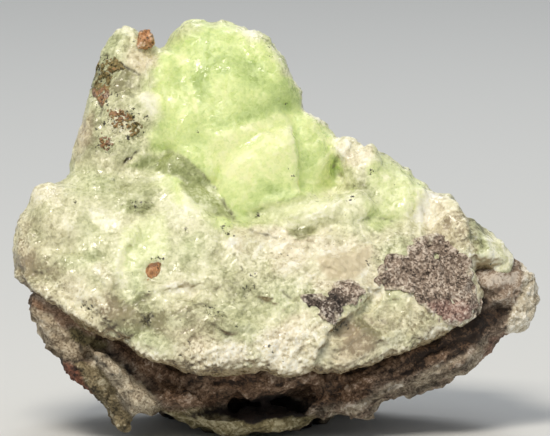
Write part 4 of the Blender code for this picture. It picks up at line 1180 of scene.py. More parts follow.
# %% Fine relief on the basalt
STRATA_TURN = 28.0
ROCK_CRACKS = [
    # path, how dark
    ([(-30.4, 11.6), (-27.4, 12.0), (-25.0, 10.4), (-23.2, 7.4), (-21.6, 4.6), (-20.6, 2.0)], 0.9),
    ([(-25.4, 13.2), (-22.2, 10.2), (-19.4, 7.6), (-17.0, 4.6)], 0.9),
    ([(-33.6, 12.0), (-31.0, 11.2), (-28.6, 8.6), (-26.6, 5.6), (-25.4, 3.0)], 0.7),
    ([(-36.8, 17.6), (-34.6, 17.0), (-32.2, 15.2), (-31.0, 13.4)], 0.5),
    ([(13.0, 5.2), (18.0, 7.4), (24.0, 10.2), (30.0, 13.6)], 0.6),
    ([(17.5, 4.6), (21.4, 6.2), (25.6, 8.0)], 0.8),
    ([(29.8, 23.4), (31.2, 21.6), (32.6, 19.8), (35.4, 19.0)], 1.0),
]


def fine_rock(mesh):
    """Chips of 3, 1.5 and 0.8 mm and a grit of crumbs. Returns how light it leaves each point."""
    drawn = pick_up(read_points(mesh))
    flat = drawn[:, :2]
    slabs = np.maximum(zone(flat, PALE_SLAB, 0.6), zone(flat, UPPER_SLAB, 0.6)) * (1 - behind(drawn))
    rough = 1 - 0.75 * zone(flat, FOOT, 0.6) * (1 - behind(drawn)) - 0.7 * slabs - 0.35 * behind(drawn)
    rough *= 1 - 0.35 * smooth((drawn[:, 0] - 12) / 6) * (1 - behind(drawn))
    broad, _, broad_pick = chips_of(drawn, 9.0, 451, 0.04)
    large, large_border, large_pick = chips_of(drawn * (0.8, 1.2, 1.0), 3.0, 431, 0.05)
    small, _, small_pick = chips_of(drawn, 1.5, 401, 0.1)
    layers = stepped(3 * fibres(drawn, 7.0, 1.1, STRATA_TURN, 441))
    grit = crumbs(drawn, 0.8, 421)
    rise = 0.55 * large + 0.3 * small + 0.15 * shards(drawn, 0.8, 411) + 0.2 * grit
    rise += 0.6 * layers * smooth((drawn[:, 0] - 2) / 4)
    rise = rough * rise + behind(drawn) * (1.2 * broad + 0.5 * stepped(3 * uneven(drawn, 6.0, 455)))
    push(mesh, rise - 0.2 - 0.3 * near_paths(flat, ROCK_CRACKS, 0.35) * facing(mesh))
    light = 0.5 * (large_pick - 0.5) + 0.6 * (small_pick - 0.5) + 0.4 * grit - 0.12
    light += 0.5 * layers * smooth((drawn[:, 0] - 2) / 4) - 0.5 * np.exp(-((large_border / 0.2) ** 2))
    return light * (1 - 0.6 * slabs) + behind(drawn) * (0.7 * (broad_pick - 0.5) + 0.5 * uneven(drawn, 7.0, 457))


rock_light = fine_rock(basalt.data)
stand_on_floor(basalt.data)
print("chips change the light by", rock_light.min().round(2), "to", rock_light.max().round(2))

# %% [markdown]
# ## Zones of the rock
#
# The rock is not one brown either: its broken face under the lip is dark brown, darkened further by
# painted shade where the lip overhangs it, the ledge on the right is crusted with pale crumbs, the
# slabs at the left are pinkish cream, chalky and rusty, and the cavity over the foot is painted black
# as shade.

# %% Outlines of the colours in the basalt
# partly the rock's dark brown, partly painted shade of the overhanging lip
DARK_BAND = [
    (-38.4, 21.7), (-32.9, 19.3), (-28.3, 17.6), (-24.0, 15.0), (-19.1, 12.0), (-13.0, 10.4),
    (-6.1, 10.2), (0.9, 8.5), (5.4, 10.2), (11.5, 10.2), (19.1, 13.2), (25.2, 15.8), (31.1, 18.8),
    (35.6, 19.2), (34.9, 18.7), (33.0, 16.3), (29.5, 13.6), (23.6, 10.4), (18.8, 8.2), (15.0, 7.7),
    (12.9, 5.3), (5.4, 4.7), (0.8, 6.3), (-3.8, 5.4), (-9.9, 4.2), (-16.4, 4.6), (-18.6, 8.3),
    (-21.3, 11.0), (-25.4, 14.5), (-29.7, 15.9), (-33.2, 17.8), (-37.0, 19.4),
]
LEDGE_CRUST = [
    (40.6, 20.2), (40.4, 18.5), (37.7, 15.3), (35.0, 14.0), (31.0, 9.6), (27.0, 7.6), (22.8, 5.6),
    (19.0, 4.4), (15.5, 2.4), (11.6, 1.6), (7.5, 1.6), (6.0, 3.4), (8.0, 4.6), (13.0, 5.4),
    (17.0, 7.4), (22.2, 9.2), (27.0, 12.0), (31.1, 14.1), (34.4, 15.6), (36.7, 18.4),
]
TIP_FRAGMENT = [
    (29.5, 24.5), (33.0, 26.0), (37.0, 26.0), (38.0, 24.0), (37.2, 22.5), (36.2, 19.8), (34.9, 19.4),
    (32.2, 20.3), (31.7, 21.4), (30.1, 22.2),
]
TIP_WHITE = [
    (37.0, 28.0), (39.6, 26.0), (41.2, 21.7), (41.1, 18.4), (38.6, 15.1), (34.9, 14.5), (35.2, 18.7),
    (36.2, 20.0), (37.3, 22.5),
]
POCKET = [
    (29.6, 22.8), (31.1, 21.6), (32.2, 20.3), (35.2, 19.5), (35.4, 18.4), (34.6, 17.2), (32.4, 16.0),
    (29.6, 15.8), (30.9, 18.0),
]
RUSTY_EDGE = [(30.6, 11.0), (32.5, 14.4), (34.6, 15.4), (35.4, 14.6), (33.3, 12.0)]
UPPER_FACE = [
    (-38.4, 19.8), (-35.4, 18.9), (-33.2, 17.7), (-31.3, 16.0), (-29.2, 15.6), (-27.6, 14.8),
    (-26.0, 13.2), (-27.0, 12.1), (-28.7, 12.0), (-30.8, 11.4), (-33.6, 12.2), (-36.2, 14.6),
    (-38.2, 17.2),
]
GREEN_RECESS = [
    (-31.3, 15.9), (-29.2, 15.6), (-27.6, 15.1), (-25.4, 14.5), (-25.4, 12.9), (-27.0, 13.2),
    (-29.2, 13.5), (-30.8, 14.3),
]
PALE_FACE = [
    (-28.7, 12.4), (-25.4, 12.6), (-22.0, 9.6), (-19.3, 7.3), (-16.8, 4.2), (-18.4, 2.2),
    (-21.4, 2.6), (-23.3, 6.0), (-24.9, 8.9), (-27.0, 11.0),
]
BROWN_FACE = [
    (-30.5, 11.6), (-27.0, 11.0), (-24.9, 8.9), (-23.3, 6.0), (-21.4, 2.6), (-20.5, -0.5),
    (-23.3, -0.5), (-25.9, 3.0), (-28.0, 5.6), (-29.6, 8.1),
]
RED_EDGE = [(-33.6, 11.6), (-31.2, 10.9), (-29.4, 9.6), (-28.1, 8.1), (-27.0, 5.4), (-30.0, 5.6), (-33.0, 8.4)]
HOLLOW = [
    (-15.1, 3.3), (-9.6, 3.9), (-6.0, 5.0), (-3.8, 5.4), (-1.7, 6.3), (1.4, 6.3), (3.8, 4.8), (5.4, 3.2),
    (2.0, 2.7), (-0.5, 2.2), (-2.9, 1.8), (-5.4, 2.6), (-8.4, 3.0), (-12.1, 3.0),
]
DARK_HOLES = [
    # middle x and w, half sizes, turn, how dark: painted shade in small holes of the rock
    (-24.6, 12.3, 0.9, 0.5, 20, 1.0),
    (-21.7, 9.8, 0.8, 1.1, 30, 1.2),
    (-29.2, 13.2, 0.5, 0.4, 0, 0.8),
    (-29.0, 11.7, 3.4, 0.3, 8, 0.7),
    (-33.6, 11.9, 1.6, 0.4, -30, 0.8),
    (-36.9, 19.9, 0.7, 0.9, 0, 0.7),
    (-12.6, 7.9, 0.8, 0.5, 0, 0.6),
    (-22.0, 4.0, 0.4, 2.4, 20, 0.5),
    (22.5, 6.9, 1.6, 0.3, 28, 0.7),
    (16.0, 4.6, 2.0, 0.3, 20, 0.7),
    (28.0, 10.4, 2.4, 0.3, 32, 0.6),
]
print("the rock has 12 zones and", len(DARK_HOLES), "dark holes")

# %% Store the zones of the basalt
drawn = pick_up(read_points(basalt.data))
near = wandering(drawn, 0.45, 2.0, 241) + wandering(drawn, 0.35, 0.8, 251) - drawn[:, :2]
near3 = np.column_stack([near, drawn[:, 2]])
front = 1 - behind(drawn, 10.0, 18.0)
back = {
    "chalk": 0.7 * smooth(1.6 * uneven(drawn, 8.0, 471) + 0.8 * uneven(drawn, 2.0, 473) - 0.3),
    "rust": 0.5 * smooth(1.6 * uneven(drawn, 6.0, 475) + 0.8 * uneven(drawn, 1.5, 477) - 0.6),
    "olive": 0.6 * smooth(1.4 * uneven(drawn, 10.0, 479) + 0.6 * uneven(drawn, 2.5, 481)),
}
# painted shade: the cavity over the foot, its deep back, the pocket and the small holes are made near black, and the
# rock's cracks are darkened with the same colour
hollow_shade = np.maximum.reduce([
    zone(near, HOLLOW, 0.3),
    smooth((5.6 - drawn[:, 1]) / 1.2) * behind(drawn, 9.0, 10.5) * (np.abs(drawn[:, 0] + 5) < 12),
    0.65 * front * zone(near, POCKET, 0.3),
    front * ovals(near, DARK_HOLES),
    front * near_paths((near + drawn[:, :2]) / 2, ROCK_CRACKS, 0.25) * smooth(0.6 + uneven(drawn, 1.0, 465)),
])
for name, value in (
    # painted shade darkens the band under the lip, and painted light lifts the foot out of its shade
    ("tone", rock_light + 0.25 * zone(near, TIP_WHITE, 0.4) + 0.6 * zone(near, TIP_FRAGMENT, 0.3)
        - 0.45 * zone(near, DARK_BAND, 0.8) * smooth((drawn[:, 0] - 12) / 6) + 0.35 * zone(near, FOOT, 0.5)
        - 0.3 * zone(near, UPPER_FACE, 0.4) - 0.3 * zone(near, PALE_FACE, 0.4)),
    # painted shade: the band under the lip, partly the rock's own dark brown
    ("shade", zone(near, DARK_BAND, 0.6) * (1 - 0.35 * smooth(0.3 + uneven(drawn, 2.6, 461)))),
    ("chalk", np.maximum.reduce([
        0.9 * zone(near, PALE_FACE, 0.3),
        0.5 * zone(near, LEDGE_CRUST, 0.5) * smooth(0.5 + fibres(near3, 6.0, 0.9, STRATA_TURN, 467)),
        zone(near, TIP_WHITE, 0.4),
    ])),
    ("pink", 0.9 * zone(near, UPPER_FACE, 0.35) * (1 - zone(near, GREEN_RECESS, 0.4))),
    ("olive", np.maximum.reduce([
        zone(near, GREEN_RECESS, 0.4),
        zone(near, FOOT, 0.5),
        0.7 * zone(near, BROWN_FACE, 0.3),
    ])),
    ("rust", np.maximum(0.9 * zone(near, RED_EDGE, 0.5), 0.6 * zone(near, RUSTY_EDGE, 0.5))),
):
    keep(basalt.data, name, value if name == "tone" else front * value + (1 - front) * back.get(name, 0))
keep(basalt.data, "hollow_shade", np.clip(hollow_shade, 0, 1) * (1 - zone(near, TIP_FRAGMENT, 0.2)))
print("basalt zones stored")

# %% [markdown]
# ## Materials
#
# One small function adds a node with its settings and links, and one turns the hex colours of a
# colour picker into the linear numbers that shaders work with.

# %% Node and colour helpers
def hex_colour(code, alpha=1.0):
    """Linear colour from sRGB hex: each part through the sRGB curve backwards."""
    parts = [int(code[i : i + 2], 16) / 255 for i in (1, 3, 5)]
    linear = [p / 12.92 if p <= 0.04045 else ((p + 0.055) / 1.055) ** 2.4 for p in parts]
    return (*linear, alpha)


def add(tree, kind, inputs=None, stops=(), **settings):
    """Adds one node. An input given as a socket is linked and any other is set, and stops colour a ramp."""
    made = tree.nodes.new(kind)
    for name, value in settings.items():
        setattr(made, name, value)
    for name, value in (inputs or {}).items():
        if isinstance(value, bpy.types.NodeSocket):
            tree.links.new(value, made.inputs[name])
        else:
            made.inputs[name].default_value = hex_colour(value) if isinstance(value, str) else value
    for number, (position, code) in enumerate(stops):
        elements = made.color_ramp.elements
        element = elements[number] if number < 2 else elements.new(position)
        element.position = position
        element.color = hex_colour(code)
    return made


def new_material(name):
    """An empty material and the node tree in it."""
    made = bpy.data.materials.new(name)
    made.use_nodes = True
    made.node_tree.nodes.clear()
    return made, made.node_tree


def per_metre(size):
    """The scale that makes a pattern this many millimetres wide, on coordinates in metres."""
    return 1 / (size * MM)


print("sRGB #808080 is", round(hex_colour("#808080")[0], 3), "linear")

# %% [markdown]
# ### Prehnite
#
# Prehnite is a translucent calcium silicate with a waxy to glassy break. Light goes about a
# millimetre in, which is why the dome glows, so most of the colour is made under the surface.
# Clouds of 3 mm and grains of 0.45 mm make it lighter and darker, as its sheaves of crystals do,
# and tiny cleavage faces of 0.8 mm each catch the light their own way.

# %% Patterns of the prehnite
crust, tree = new_material("prehnite_waxy_break")
place = add(tree, "ShaderNodeTexCoord").outputs["Object"]
zones = {
    name: add(tree, "ShaderNodeAttribute", attribute_name=name).outputs["Fac"]
    for name in ("glow", "tone", "olive", "cream", "warm", "sugar", "dirt_and_underside_shade", "crack", "grime", "beige")
}
clouds = add(
    tree, "ShaderNodeTexNoise", {"Vector": place, "Scale": per_metre(3), "Detail": 4.0, "Roughness": 0.6}
).outputs["Fac"]
grains = add(
    tree, "ShaderNodeTexNoise", {"Vector": place, "Scale": per_metre(0.45), "Detail": 2.0, "Roughness": 0.6}
).outputs["Fac"]
bend = add(tree, "ShaderNodeTexNoise", {"Vector": place, "Scale": per_metre(1.2), "Detail": 3.0}).outputs["Color"]
bent = add(tree, "ShaderNodeVectorMath", {0: bend, 1: (0.0026,) * 3, 2: place}, operation="MULTIPLY_ADD").outputs[0]
borders = add(
    tree, "ShaderNodeTexVoronoi", {"Vector": bent, "Scale": per_metre(2.4)}, feature="DISTANCE_TO_EDGE"
).outputs["Distance"]
veins = add(tree, "ShaderNodeMapRange", {"Value": borders, "From Max": 0.05, "To Min": 0.3, "To Max": 0.0}).outputs["Result"]
veins = add(tree, "ShaderNodeMath", {0: veins, 1: clouds}, operation="MULTIPLY").outputs[0]
granules = add(tree, "ShaderNodeTexVoronoi", {"Vector": place, "Scale": per_metre(0.34)})
granule_own = add(tree, "ShaderNodeSeparateColor", {"Color": granules.outputs["Color"]}).outputs[0]
faces = add(tree, "ShaderNodeTexVoronoi", {"Vector": place, "Scale": per_metre(0.8)})
face_own = add(tree, "ShaderNodeSeparateColor", {"Color": faces.outputs["Color"]}).outputs[0]
print("patterns read", len(zones), "zones")

# %% Colour of the prehnite
# the tone attribute brings painted highlights, glints and shade with it
light = -0.03
for source, strength in ((zones["tone"], 0.5), (clouds, 0.4), (grains, 0.45), (face_own, 0.12), (veins, 0.8)):
    light = add(tree, "ShaderNodeMath", {0: source, 1: strength, 2: light}, operation="MULTIPLY_ADD").outputs[0]
speck = add(tree, "ShaderNodeMath", {0: granule_own, 1: 0.42}, operation="SUBTRACT").outputs[0]
loose_share = add(tree, "ShaderNodeMapRange", {"Value": zones["sugar"], "To Min": 0.35}).outputs["Result"]
speck = add(tree, "ShaderNodeMath", {0: speck, 1: loose_share}, operation="MULTIPLY").outputs[0]
light = add(tree, "ShaderNodeMath", {0: speck, 1: 0.65, 2: light}, operation="MULTIPLY_ADD").outputs[0]
PREHNITE_COLOURS = {
    "plain": [(0.0, "#8E8E6A"), (0.35, "#C6C8A0"), (0.6, "#E3E4C0"), (1.0, "#FFFEE8")],
    "fresh": [(0.0, "#8E9A6A"), (0.35, "#C2CE9C"), (0.6, "#DEE7B8"), (1.0, "#F8FCDE")],
    "glow": [(0.0, "#B6CA82"), (0.35, "#CFE09A"), (0.6, "#DEEBA8"), (1.0, "#F2FAC2")],
    "cream": [(0.0, "#A4957A"), (0.3, "#D8CEB0"), (0.6, "#F0E9D0"), (1.0, "#FFFDEE")],
    "olive": [(0.0, "#6B7048"), (0.4, "#929B65"), (0.7, "#B2BB84"), (1.0, "#E0E6C0")],
    "soil_and_shade": [(0.1, "#4E3F2C"), (0.45, "#8A7858"), (0.8, "#B5A684")],
}
paint = {
    name: add(tree, "ShaderNodeValToRGB", {"Fac": light}, stops).outputs["Color"]
    for name, stops in PREHNITE_COLOURS.items()
}
fresh = add(tree, "ShaderNodeMath", {0: zones["warm"], 1: -0.9}, operation="MULTIPLY", use_clamp=True).outputs[0]
warm = add(tree, "ShaderNodeMath", {0: zones["warm"], 1: 0.8}, operation="MULTIPLY", use_clamp=True).outputs[0]
colour = paint["plain"]
for share, layer in (
    (fresh, paint["fresh"]),
    (warm, paint["cream"]),
    (zones["glow"], paint["glow"]),
    (zones["cream"], paint["cream"]),
    (zones["beige"], "#D8CDAE"),
    (zones["olive"], paint["olive"]),
    (zones["dirt_and_underside_shade"], paint["soil_and_shade"]),
    (zones["crack"], "#4E4830"),
):
    colour = add(tree, "ShaderNodeMix", {0: share, 6: colour, 7: layer}, data_type="RGBA").outputs[2]
print(len(PREHNITE_COLOURS), "colours of prehnite")

# %% [markdown]
# Dark flecks of chlorite and copper oxide sit in clusters. They are the cells of a pattern half a
# millimetre wide, bent by noise so that none is round, and a cell is dark when its own random number is over
# a limit that the grime zones lower.

# %% Flecks of dirt
FLECK_CELL = 0.4
bend = add(tree, "ShaderNodeTexNoise", {"Vector": place, "Scale": per_metre(0.3), "Detail": 2.0}).outputs["Color"]
bent = add(tree, "ShaderNodeVectorMath", {0: bend, 1: (0.0011,) * 3, 2: place}, operation="MULTIPLY_ADD").outputs[0]
dots = add(tree, "ShaderNodeTexVoronoi", {"Vector": bent, "Scale": per_metre(FLECK_CELL)})
dot_own = add(tree, "ShaderNodeSeparateColor", {"Color": dots.outputs["Color"]})
limit = add(tree, "ShaderNodeMath", {0: zones["grime"], 1: -0.7, 2: 0.9988}, operation="MULTIPLY_ADD").outputs[0]
chosen = add(tree, "ShaderNodeMath", {0: dot_own.outputs[0], 1: limit}, operation="GREATER_THAN").outputs[0]
spread = add(tree, "ShaderNodeMapRange", {"Value": dot_own.outputs[1], "To Min": 0.25, "To Max": 0.85}).outputs["Result"]
within = add(tree, "ShaderNodeMath", {0: spread, 1: dots.outputs["Distance"]}, operation="SUBTRACT").outputs[0]
within = add(tree, "ShaderNodeMath", {0: within, 1: 8.0}, operation="MULTIPLY", use_clamp=True).outputs[0]
fleck = add(tree, "ShaderNodeMath", {0: within, 1: chosen}, operation="MULTIPLY").outputs[0]
colour = add(tree, "ShaderNodeMix", {0: fleck, 6: colour, 7: "#33301F"}, data_type="RGBA").outputs[2]
print("flecks are", round(0.25 * FLECK_CELL, 2), "to", round(0.85 * FLECK_CELL, 2), "mm in radius")

# %% Relief and shader of the prehnite
way = add(tree, "ShaderNodeVectorMath", {0: faces.outputs["Color"], 1: (0.5, 0.5, 0.5)}, operation="SUBTRACT")
off = add(tree, "ShaderNodeVectorMath", {0: place, 1: faces.outputs["Position"]}, operation="SUBTRACT")
slope = add(tree, "ShaderNodeVectorMath", {0: way.outputs[0], 1: off.outputs[0]}, operation="DOT_PRODUCT")
grain_height = add(tree, "ShaderNodeMath", {0: grains, 1: 0.0001}, operation="MULTIPLY").outputs[0]
steep = add(tree, "ShaderNodeMapRange", {"Value": zones["glow"], "To Min": 0.45, "To Max": 0.2}).outputs["Result"]
height = add(
    tree, "ShaderNodeMath", {0: slope.outputs["Value"], 1: steep, 2: grain_height}, operation="MULTIPLY_ADD"
).outputs[0]
height = add(tree, "ShaderNodeMath", {0: speck, 1: 0.00025, 2: height}, operation="MULTIPLY_ADD").outputs[0]
bump = add(tree, "ShaderNodeBump", {"Strength": 0.8, "Distance": 1.0, "Height": height}).outputs["Normal"]
gloss = add(
    tree, "ShaderNodeMapRange", {"Value": face_own, "From Min": 0.1, "From Max": 0.4, "To Min": 0.14, "To Max": 0.48}
).outputs["Result"]
depth = add(tree, "ShaderNodeMapRange", {"Value": zones["glow"], "To Min": 0.45, "To Max": 0.9}).outputs["Result"]
depth = add(tree, "ShaderNodeMath", {0: zones["sugar"], 1: -0.2, 2: depth}, operation="MULTIPLY_ADD").outputs[0]
far = add(tree, "ShaderNodeMapRange", {"Value": zones["glow"], "To Min": 0.001, "To Max": 0.004}).outputs["Result"]
shader = add(tree, "ShaderNodeBsdfPrincipled", {
    "IOR": 1.62,
    "Subsurface Scale": far,
    "Subsurface Radius": (1.0, 1.0, 0.8),
    "Base Color": colour,
    "Roughness": gloss,
    "Subsurface Weight": depth,
    "Normal": bump,
})
add(tree, "ShaderNodeOutputMaterial", {"Surface": shader.outputs["BSDF"]})
prehnite.data.materials.append(crust)
print(crust.name, len(tree.nodes), "nodes")

# %% [markdown]
# ### Basalt
#
# Fine-grained lava: dull, rough, and speckled with grains of a third of a millimetre. Its zones
# shift the grain colours towards dark brown, partly painted shade under the lip, chalk, pinkish
# cream, olive, rust, and the near-black painted shade of a hole.

# %% Basalt material
def basalt_material(name, grit_share, colours, layers):
    """A speckled rock: grit, clouds and the chips' tone give a value, which each colour ramp reads."""
    made, tree = new_material(name)
    place = add(tree, "ShaderNodeTexCoord").outputs["Object"]
    clouds = add(
        tree, "ShaderNodeTexNoise", {"Vector": place, "Scale": per_metre(2), "Detail": 6.0, "Roughness": 0.7}
    ).outputs["Fac"]
    grit = add(tree, "ShaderNodeTexVoronoi", {"Vector": place, "Scale": per_metre(0.26)})
    grit_own = add(tree, "ShaderNodeSeparateColor", {"Color": grit.outputs["Color"]}).outputs[0]
    tone = add(tree, "ShaderNodeAttribute", attribute_name="tone").outputs["Fac"]
    value = 0.5 - 0.55 - grit_share / 2
    for source, strength in ((clouds, 1.1), (grit_own, grit_share), (tone, 0.5)):
        value = add(tree, "ShaderNodeMath", {0: source, 1: strength, 2: value}, operation="MULTIPLY_ADD").outputs[0]
    paint = {key: add(tree, "ShaderNodeValToRGB", {"Fac": value}, stops).outputs["Color"] for key, stops in colours.items()}
    colour = paint["plain"]
    for zone_name in layers:
        share = add(tree, "ShaderNodeAttribute", attribute_name=zone_name).outputs["Fac"]
        colour = add(tree, "ShaderNodeMix", {0: share, 6: colour, 7: paint[zone_name]}, data_type="RGBA").outputs[2]
    bump = add(tree, "ShaderNodeBump", {"Strength": 0.8, "Distance": 0.0003, "Height": value}).outputs["Normal"]
    shader = add(
        tree, "ShaderNodeBsdfPrincipled", {"IOR": 1.5, "Roughness": 0.8, "Base Color": colour, "Normal": bump}
    )
    add(tree, "ShaderNodeOutputMaterial", {"Surface": shader.outputs["BSDF"]})
    print(name, len(tree.nodes), "nodes")
    return made


BASALT_COLOURS = {
    "plain": [(0.1, "#3E342C"), (0.4, "#7A6858"), (0.65, "#9A8876"), (0.95, "#CFC4B6")],
    # the band under the lip: dark brown rock and painted shade
    "shade": [(0.1, "#2E2016"), (0.45, "#6A4F39"), (0.7, "#94775F"), (0.95, "#CDB6A2")],
    "chalk": [(0.05, "#7C6E5C"), (0.35, "#BAAE96"), (0.6, "#DAD1BB"), (0.9, "#FAF6EA")],
    "pink": [(0.05, "#746550"), (0.35, "#B4A58C"), (0.6, "#D2C6AE"), (0.9, "#F4EEDE")],
    "olive": [(0.1, "#3E3824"), (0.45, "#766C4A"), (0.7, "#958B68"), (0.95, "#C6BE9E")],
    "rust": [(0.1, "#2E1A14"), (0.5, "#6E3E2C"), (0.9, "#A0684C")],
    # the near black of painted shade in cavities and holes
    "hollow_shade": [(0.1, "#0E0806"), (0.9, "#241710")],
}
rock = basalt_material("basalt_broken", 0.42, BASALT_COLOURS, ("shade", "chalk", "pink", "olive", "rust", "hollow_shade"))
basalt.data.materials.append(rock)

# %% [markdown]
# ## Fragments of basalt in the crust
#
# Two splinters of basalt lie flush in the broken face. Each is a closed sheet on two parameters,
# the angle round its outline and the share of the way out, that follows the crust's own depth,
# stands a little proud in the middle and dives into the crust at its ragged edge. Their break is
# fresh, so the grains show as salt and pepper.

# %% Sheets that follow the crust
FRONT_CELL = 0.4
crust_front = depth_map(pick_up(read_points(prehnite.data)), FRONT_CELL)


def flush_sheet(outline, middle, height, back, rows, columns):
    """A closed sheet on the crust.

    Its front is the crust's depth less height, a function of the place and of the distance to the
    edge, and its back lies the given distance deeper.
    """
    angles = np.arange(columns) * 2 * np.pi / columns
    share = np.linspace(0, 1, rows)[:, None]
    far = 1.03 * reach(outline, middle, angles)
    x = middle[0] + share * far * np.cos(angles)
    w = middle[1] + share * far * np.sin(angles)
    depth = depth_at(crust_front, FRONT_CELL, np.stack([x, w], axis=-1))
    depth = np.minimum(depth, depth[0, 0] + 3.0)
    flat = np.stack([x, w, depth], axis=-1).reshape(-1, 3)
    proud = height(flat, ((1 - share) * far).ravel()).reshape(rows, columns)
    front = np.stack([x, w, depth - proud], axis=-1)
    behind_it = np.stack([x, w, depth + back], axis=-1)[::-1]
    return closed_grid(np.concatenate([front, behind_it]))


def rock_height(flat, edge):
    """A fifth of a millimetre proud, chipped, and diving where the distance to the edge runs out."""
    ragged = np.clip(edge + 0.9 * uneven(flat, 1.3, 521) + 0.4 * uneven(flat, 0.5, 525), 0, None)
    rough = 0.3 * shards(flat, 1.3, 501) + 0.2 * uneven(flat, 0.6, 511)
    return 0.28 + rough - 1.0 * np.exp(-((ragged / 0.3) ** 2))


print("the crust's nearest point is at depth", crust_front.min().round(1))

# %% The fragments
FRAGMENTS = {
    # outline and middle
    "basalt_fragment_large": ([
        (14.8, 23.3), (15.8, 25.5), (17.0, 27.2), (19.0, 27.4), (19.6, 28.4), (21.1, 29.5),
        (24.2, 30.3), (26.0, 29.6), (28.2, 28.6), (29.4, 26.9), (29.5, 25.0), (30.4, 23.6),
        (30.1, 21.8), (31.0, 20.2), (30.6, 18.5), (29.5, 17.7), (27.9, 16.6), (25.8, 16.8),
        (24.2, 17.2), (22.6, 18.4), (21.0, 20.0), (20.2, 21.2), (18.8, 21.9), (16.6, 21.9),
    ], (24.6, 23.2)),
    "basalt_fragment_small": ([
        (3.2, 21.2), (5.3, 21.5), (6.9, 21.4), (8.4, 22.5), (9.3, 23.2), (10.9, 23.5), (12.9, 23.0),
        (13.5, 21.5), (12.7, 20.1), (11.0, 19.2), (10.3, 18.0), (8.8, 16.9), (7.2, 17.6), (5.8, 19.0),
        (4.2, 20.0),
    ], (9.0, 20.4)),
}
FRAGMENT_COLOURS = {
    "plain": [(0.0, "#3A302A"), (0.35, "#7C6C5E"), (0.6, "#A29182"), (1.0, "#DCCFC0")],
    "pink": [(0.0, "#5A413A"), (0.4, "#9A7A70"), (0.7, "#BC9E92"), (1.0, "#E2D2C6")],
    "shade": [(0.0, "#221C18"), (0.45, "#564A42"), (0.75, "#867A70"), (1.0, "#CFC6BC")],
    "chalk": [(0.0, "#8C7E6C"), (0.4, "#C6BAA4"), (1.0, "#F6F0E2")],
}
PINK_STAIN = [(22.6, 20.3), (26.3, 20.6), (29.8, 19.4), (29.2, 16.8), (25.8, 16.6), (23.6, 18.0)]
SMALL_SHADE = [(2.4, 22.0), (8.6, 22.2), (11.4, 20.4), (9.8, 16.4), (5.0, 17.0), (3.0, 19.0)]
splinter = basalt_material("basalt_fresh_break", 0.8, FRAGMENT_COLOURS, ("pink", "shade", "chalk"))
fragment_things = {}
for name, (outline, middle) in FRAGMENTS.items():
    points, quads = flush_sheet(outline, middle, rock_height, 2.2, 48, 240)
    thing = mesh_object(name + "_rough", lay_down(points), quads)
    near = wandering(points, 0.5, 1.2, 541)
    keep(thing.data, "tone", 0.6 * chips_of(points, 1.2, 545)[2] - 0.3 + 0.3 * uneven(points, 0.5, 547))
    keep(thing.data, "pink", 0.8 * zone(near, PINK_STAIN, 0.8))
    keep(thing.data, "shade", zone(near, SMALL_SHADE, 0.8))
    dusty = 0.25 - inside(points[:, :2], outline) / 2.0 + 0.7 * uneven(points, 0.9, 549)
    keep(thing.data, "chalk", 0.9 * smooth(4 * dusty))
    thing.data.materials.append(splinter)
    fragment_things[name] = thing
    print(thing.name, len(quads), "faces")

# %% [markdown]
# ## Copper
#
# Native copper grew in the cracks. Where it is fresh it is orange-brown metal, and where it has
# stood in the air it has gone olive brown and black. Copper keeps the default IOR, and the tarnish
# takes most of its shine.

# %% Copper materials
COPPERS = {
    # colours, share of bare metal, how much is black crust
    # painted sheen: the palest, pinkish white stops of the fresh copper stand in for the shine of the metal
    "native_copper": ([(0.32, "#8A6446"), (0.46, "#C08A5C"), (0.56, "#D8B08C"), (0.68, "#F4E0CC")], 0.15, 0.0),
    "native_copper_tarnished": ([
        (0.25, "#544A2C"), (0.42, "#8C8052"), (0.52, "#A08A5C"), (0.58, "#A67C54"), (0.68, "#9C7E68"),
        (0.8, "#CDB8A4"),
    ], 0.12, 0.02),
}
copper_materials = {}
for name, (stops, bare, blacker) in COPPERS.items():
    copper, tree = new_material(name)
    place = add(tree, "ShaderNodeTexCoord").outputs["Object"]
    clouds = add(
        tree, "ShaderNodeTexNoise", {"Vector": place, "Scale": per_metre(1.1), "Detail": 4.0, "Roughness": 0.7}
    ).outputs["Fac"]
    dirt = add(
        tree, "ShaderNodeTexNoise", {"Vector": place, "Scale": per_metre(0.4), "Detail": 3.0, "Roughness": 0.6}
    ).outputs["Fac"]
    rim = add(tree, "ShaderNodeAttribute", attribute_name="rim").outputs["Fac"]
    ripe = add(tree, "ShaderNodeAttribute", attribute_name="ripe").outputs["Fac"]
    ripe = add(tree, "ShaderNodeMath", {0: clouds, 1: ripe}, operation="ADD").outputs[0]
    colour = add(tree, "ShaderNodeValToRGB", {"Fac": ripe}, stops).outputs["Color"]
    black = add(tree, "ShaderNodeMath", {0: rim, 1: 0.03, 2: dirt}, operation="MULTIPLY_ADD").outputs[0]
    black = add(
        tree, "ShaderNodeMapRange", {"Value": black, "From Min": 0.58 - blacker, "From Max": 0.66 - blacker}
    ).outputs["Result"]
    colour = add(tree, "ShaderNodeMix", {0: black, 6: colour, 7: "#231D12"}, data_type="RGBA").outputs[2]
    metal = add(tree, "ShaderNodeMath", {0: bare, 1: black}, operation="SUBTRACT", use_clamp=True).outputs[0]
    bump = add(tree, "ShaderNodeBump", {"Strength": 0.7, "Distance": 0.0003, "Height": dirt}).outputs["Normal"]
    shader = add(
        tree,
        "ShaderNodeBsdfPrincipled",
        {"Roughness": 0.45, "Base Color": colour, "Metallic": metal, "Normal": bump},
    )
    add(tree, "ShaderNodeOutputMaterial", {"Surface": shader.outputs["BSDF"]})
    copper_materials[name] = copper
    print(name, len(tree.nodes), "nodes")

# %% [markdown]
# The nugget on the crest and the grain in the front stand free, so they are chunky balls. The three
# others are crumbly crusts on the face: sheets whose height is a row of crumbs, and between the
# crumbs the prehnite shows.

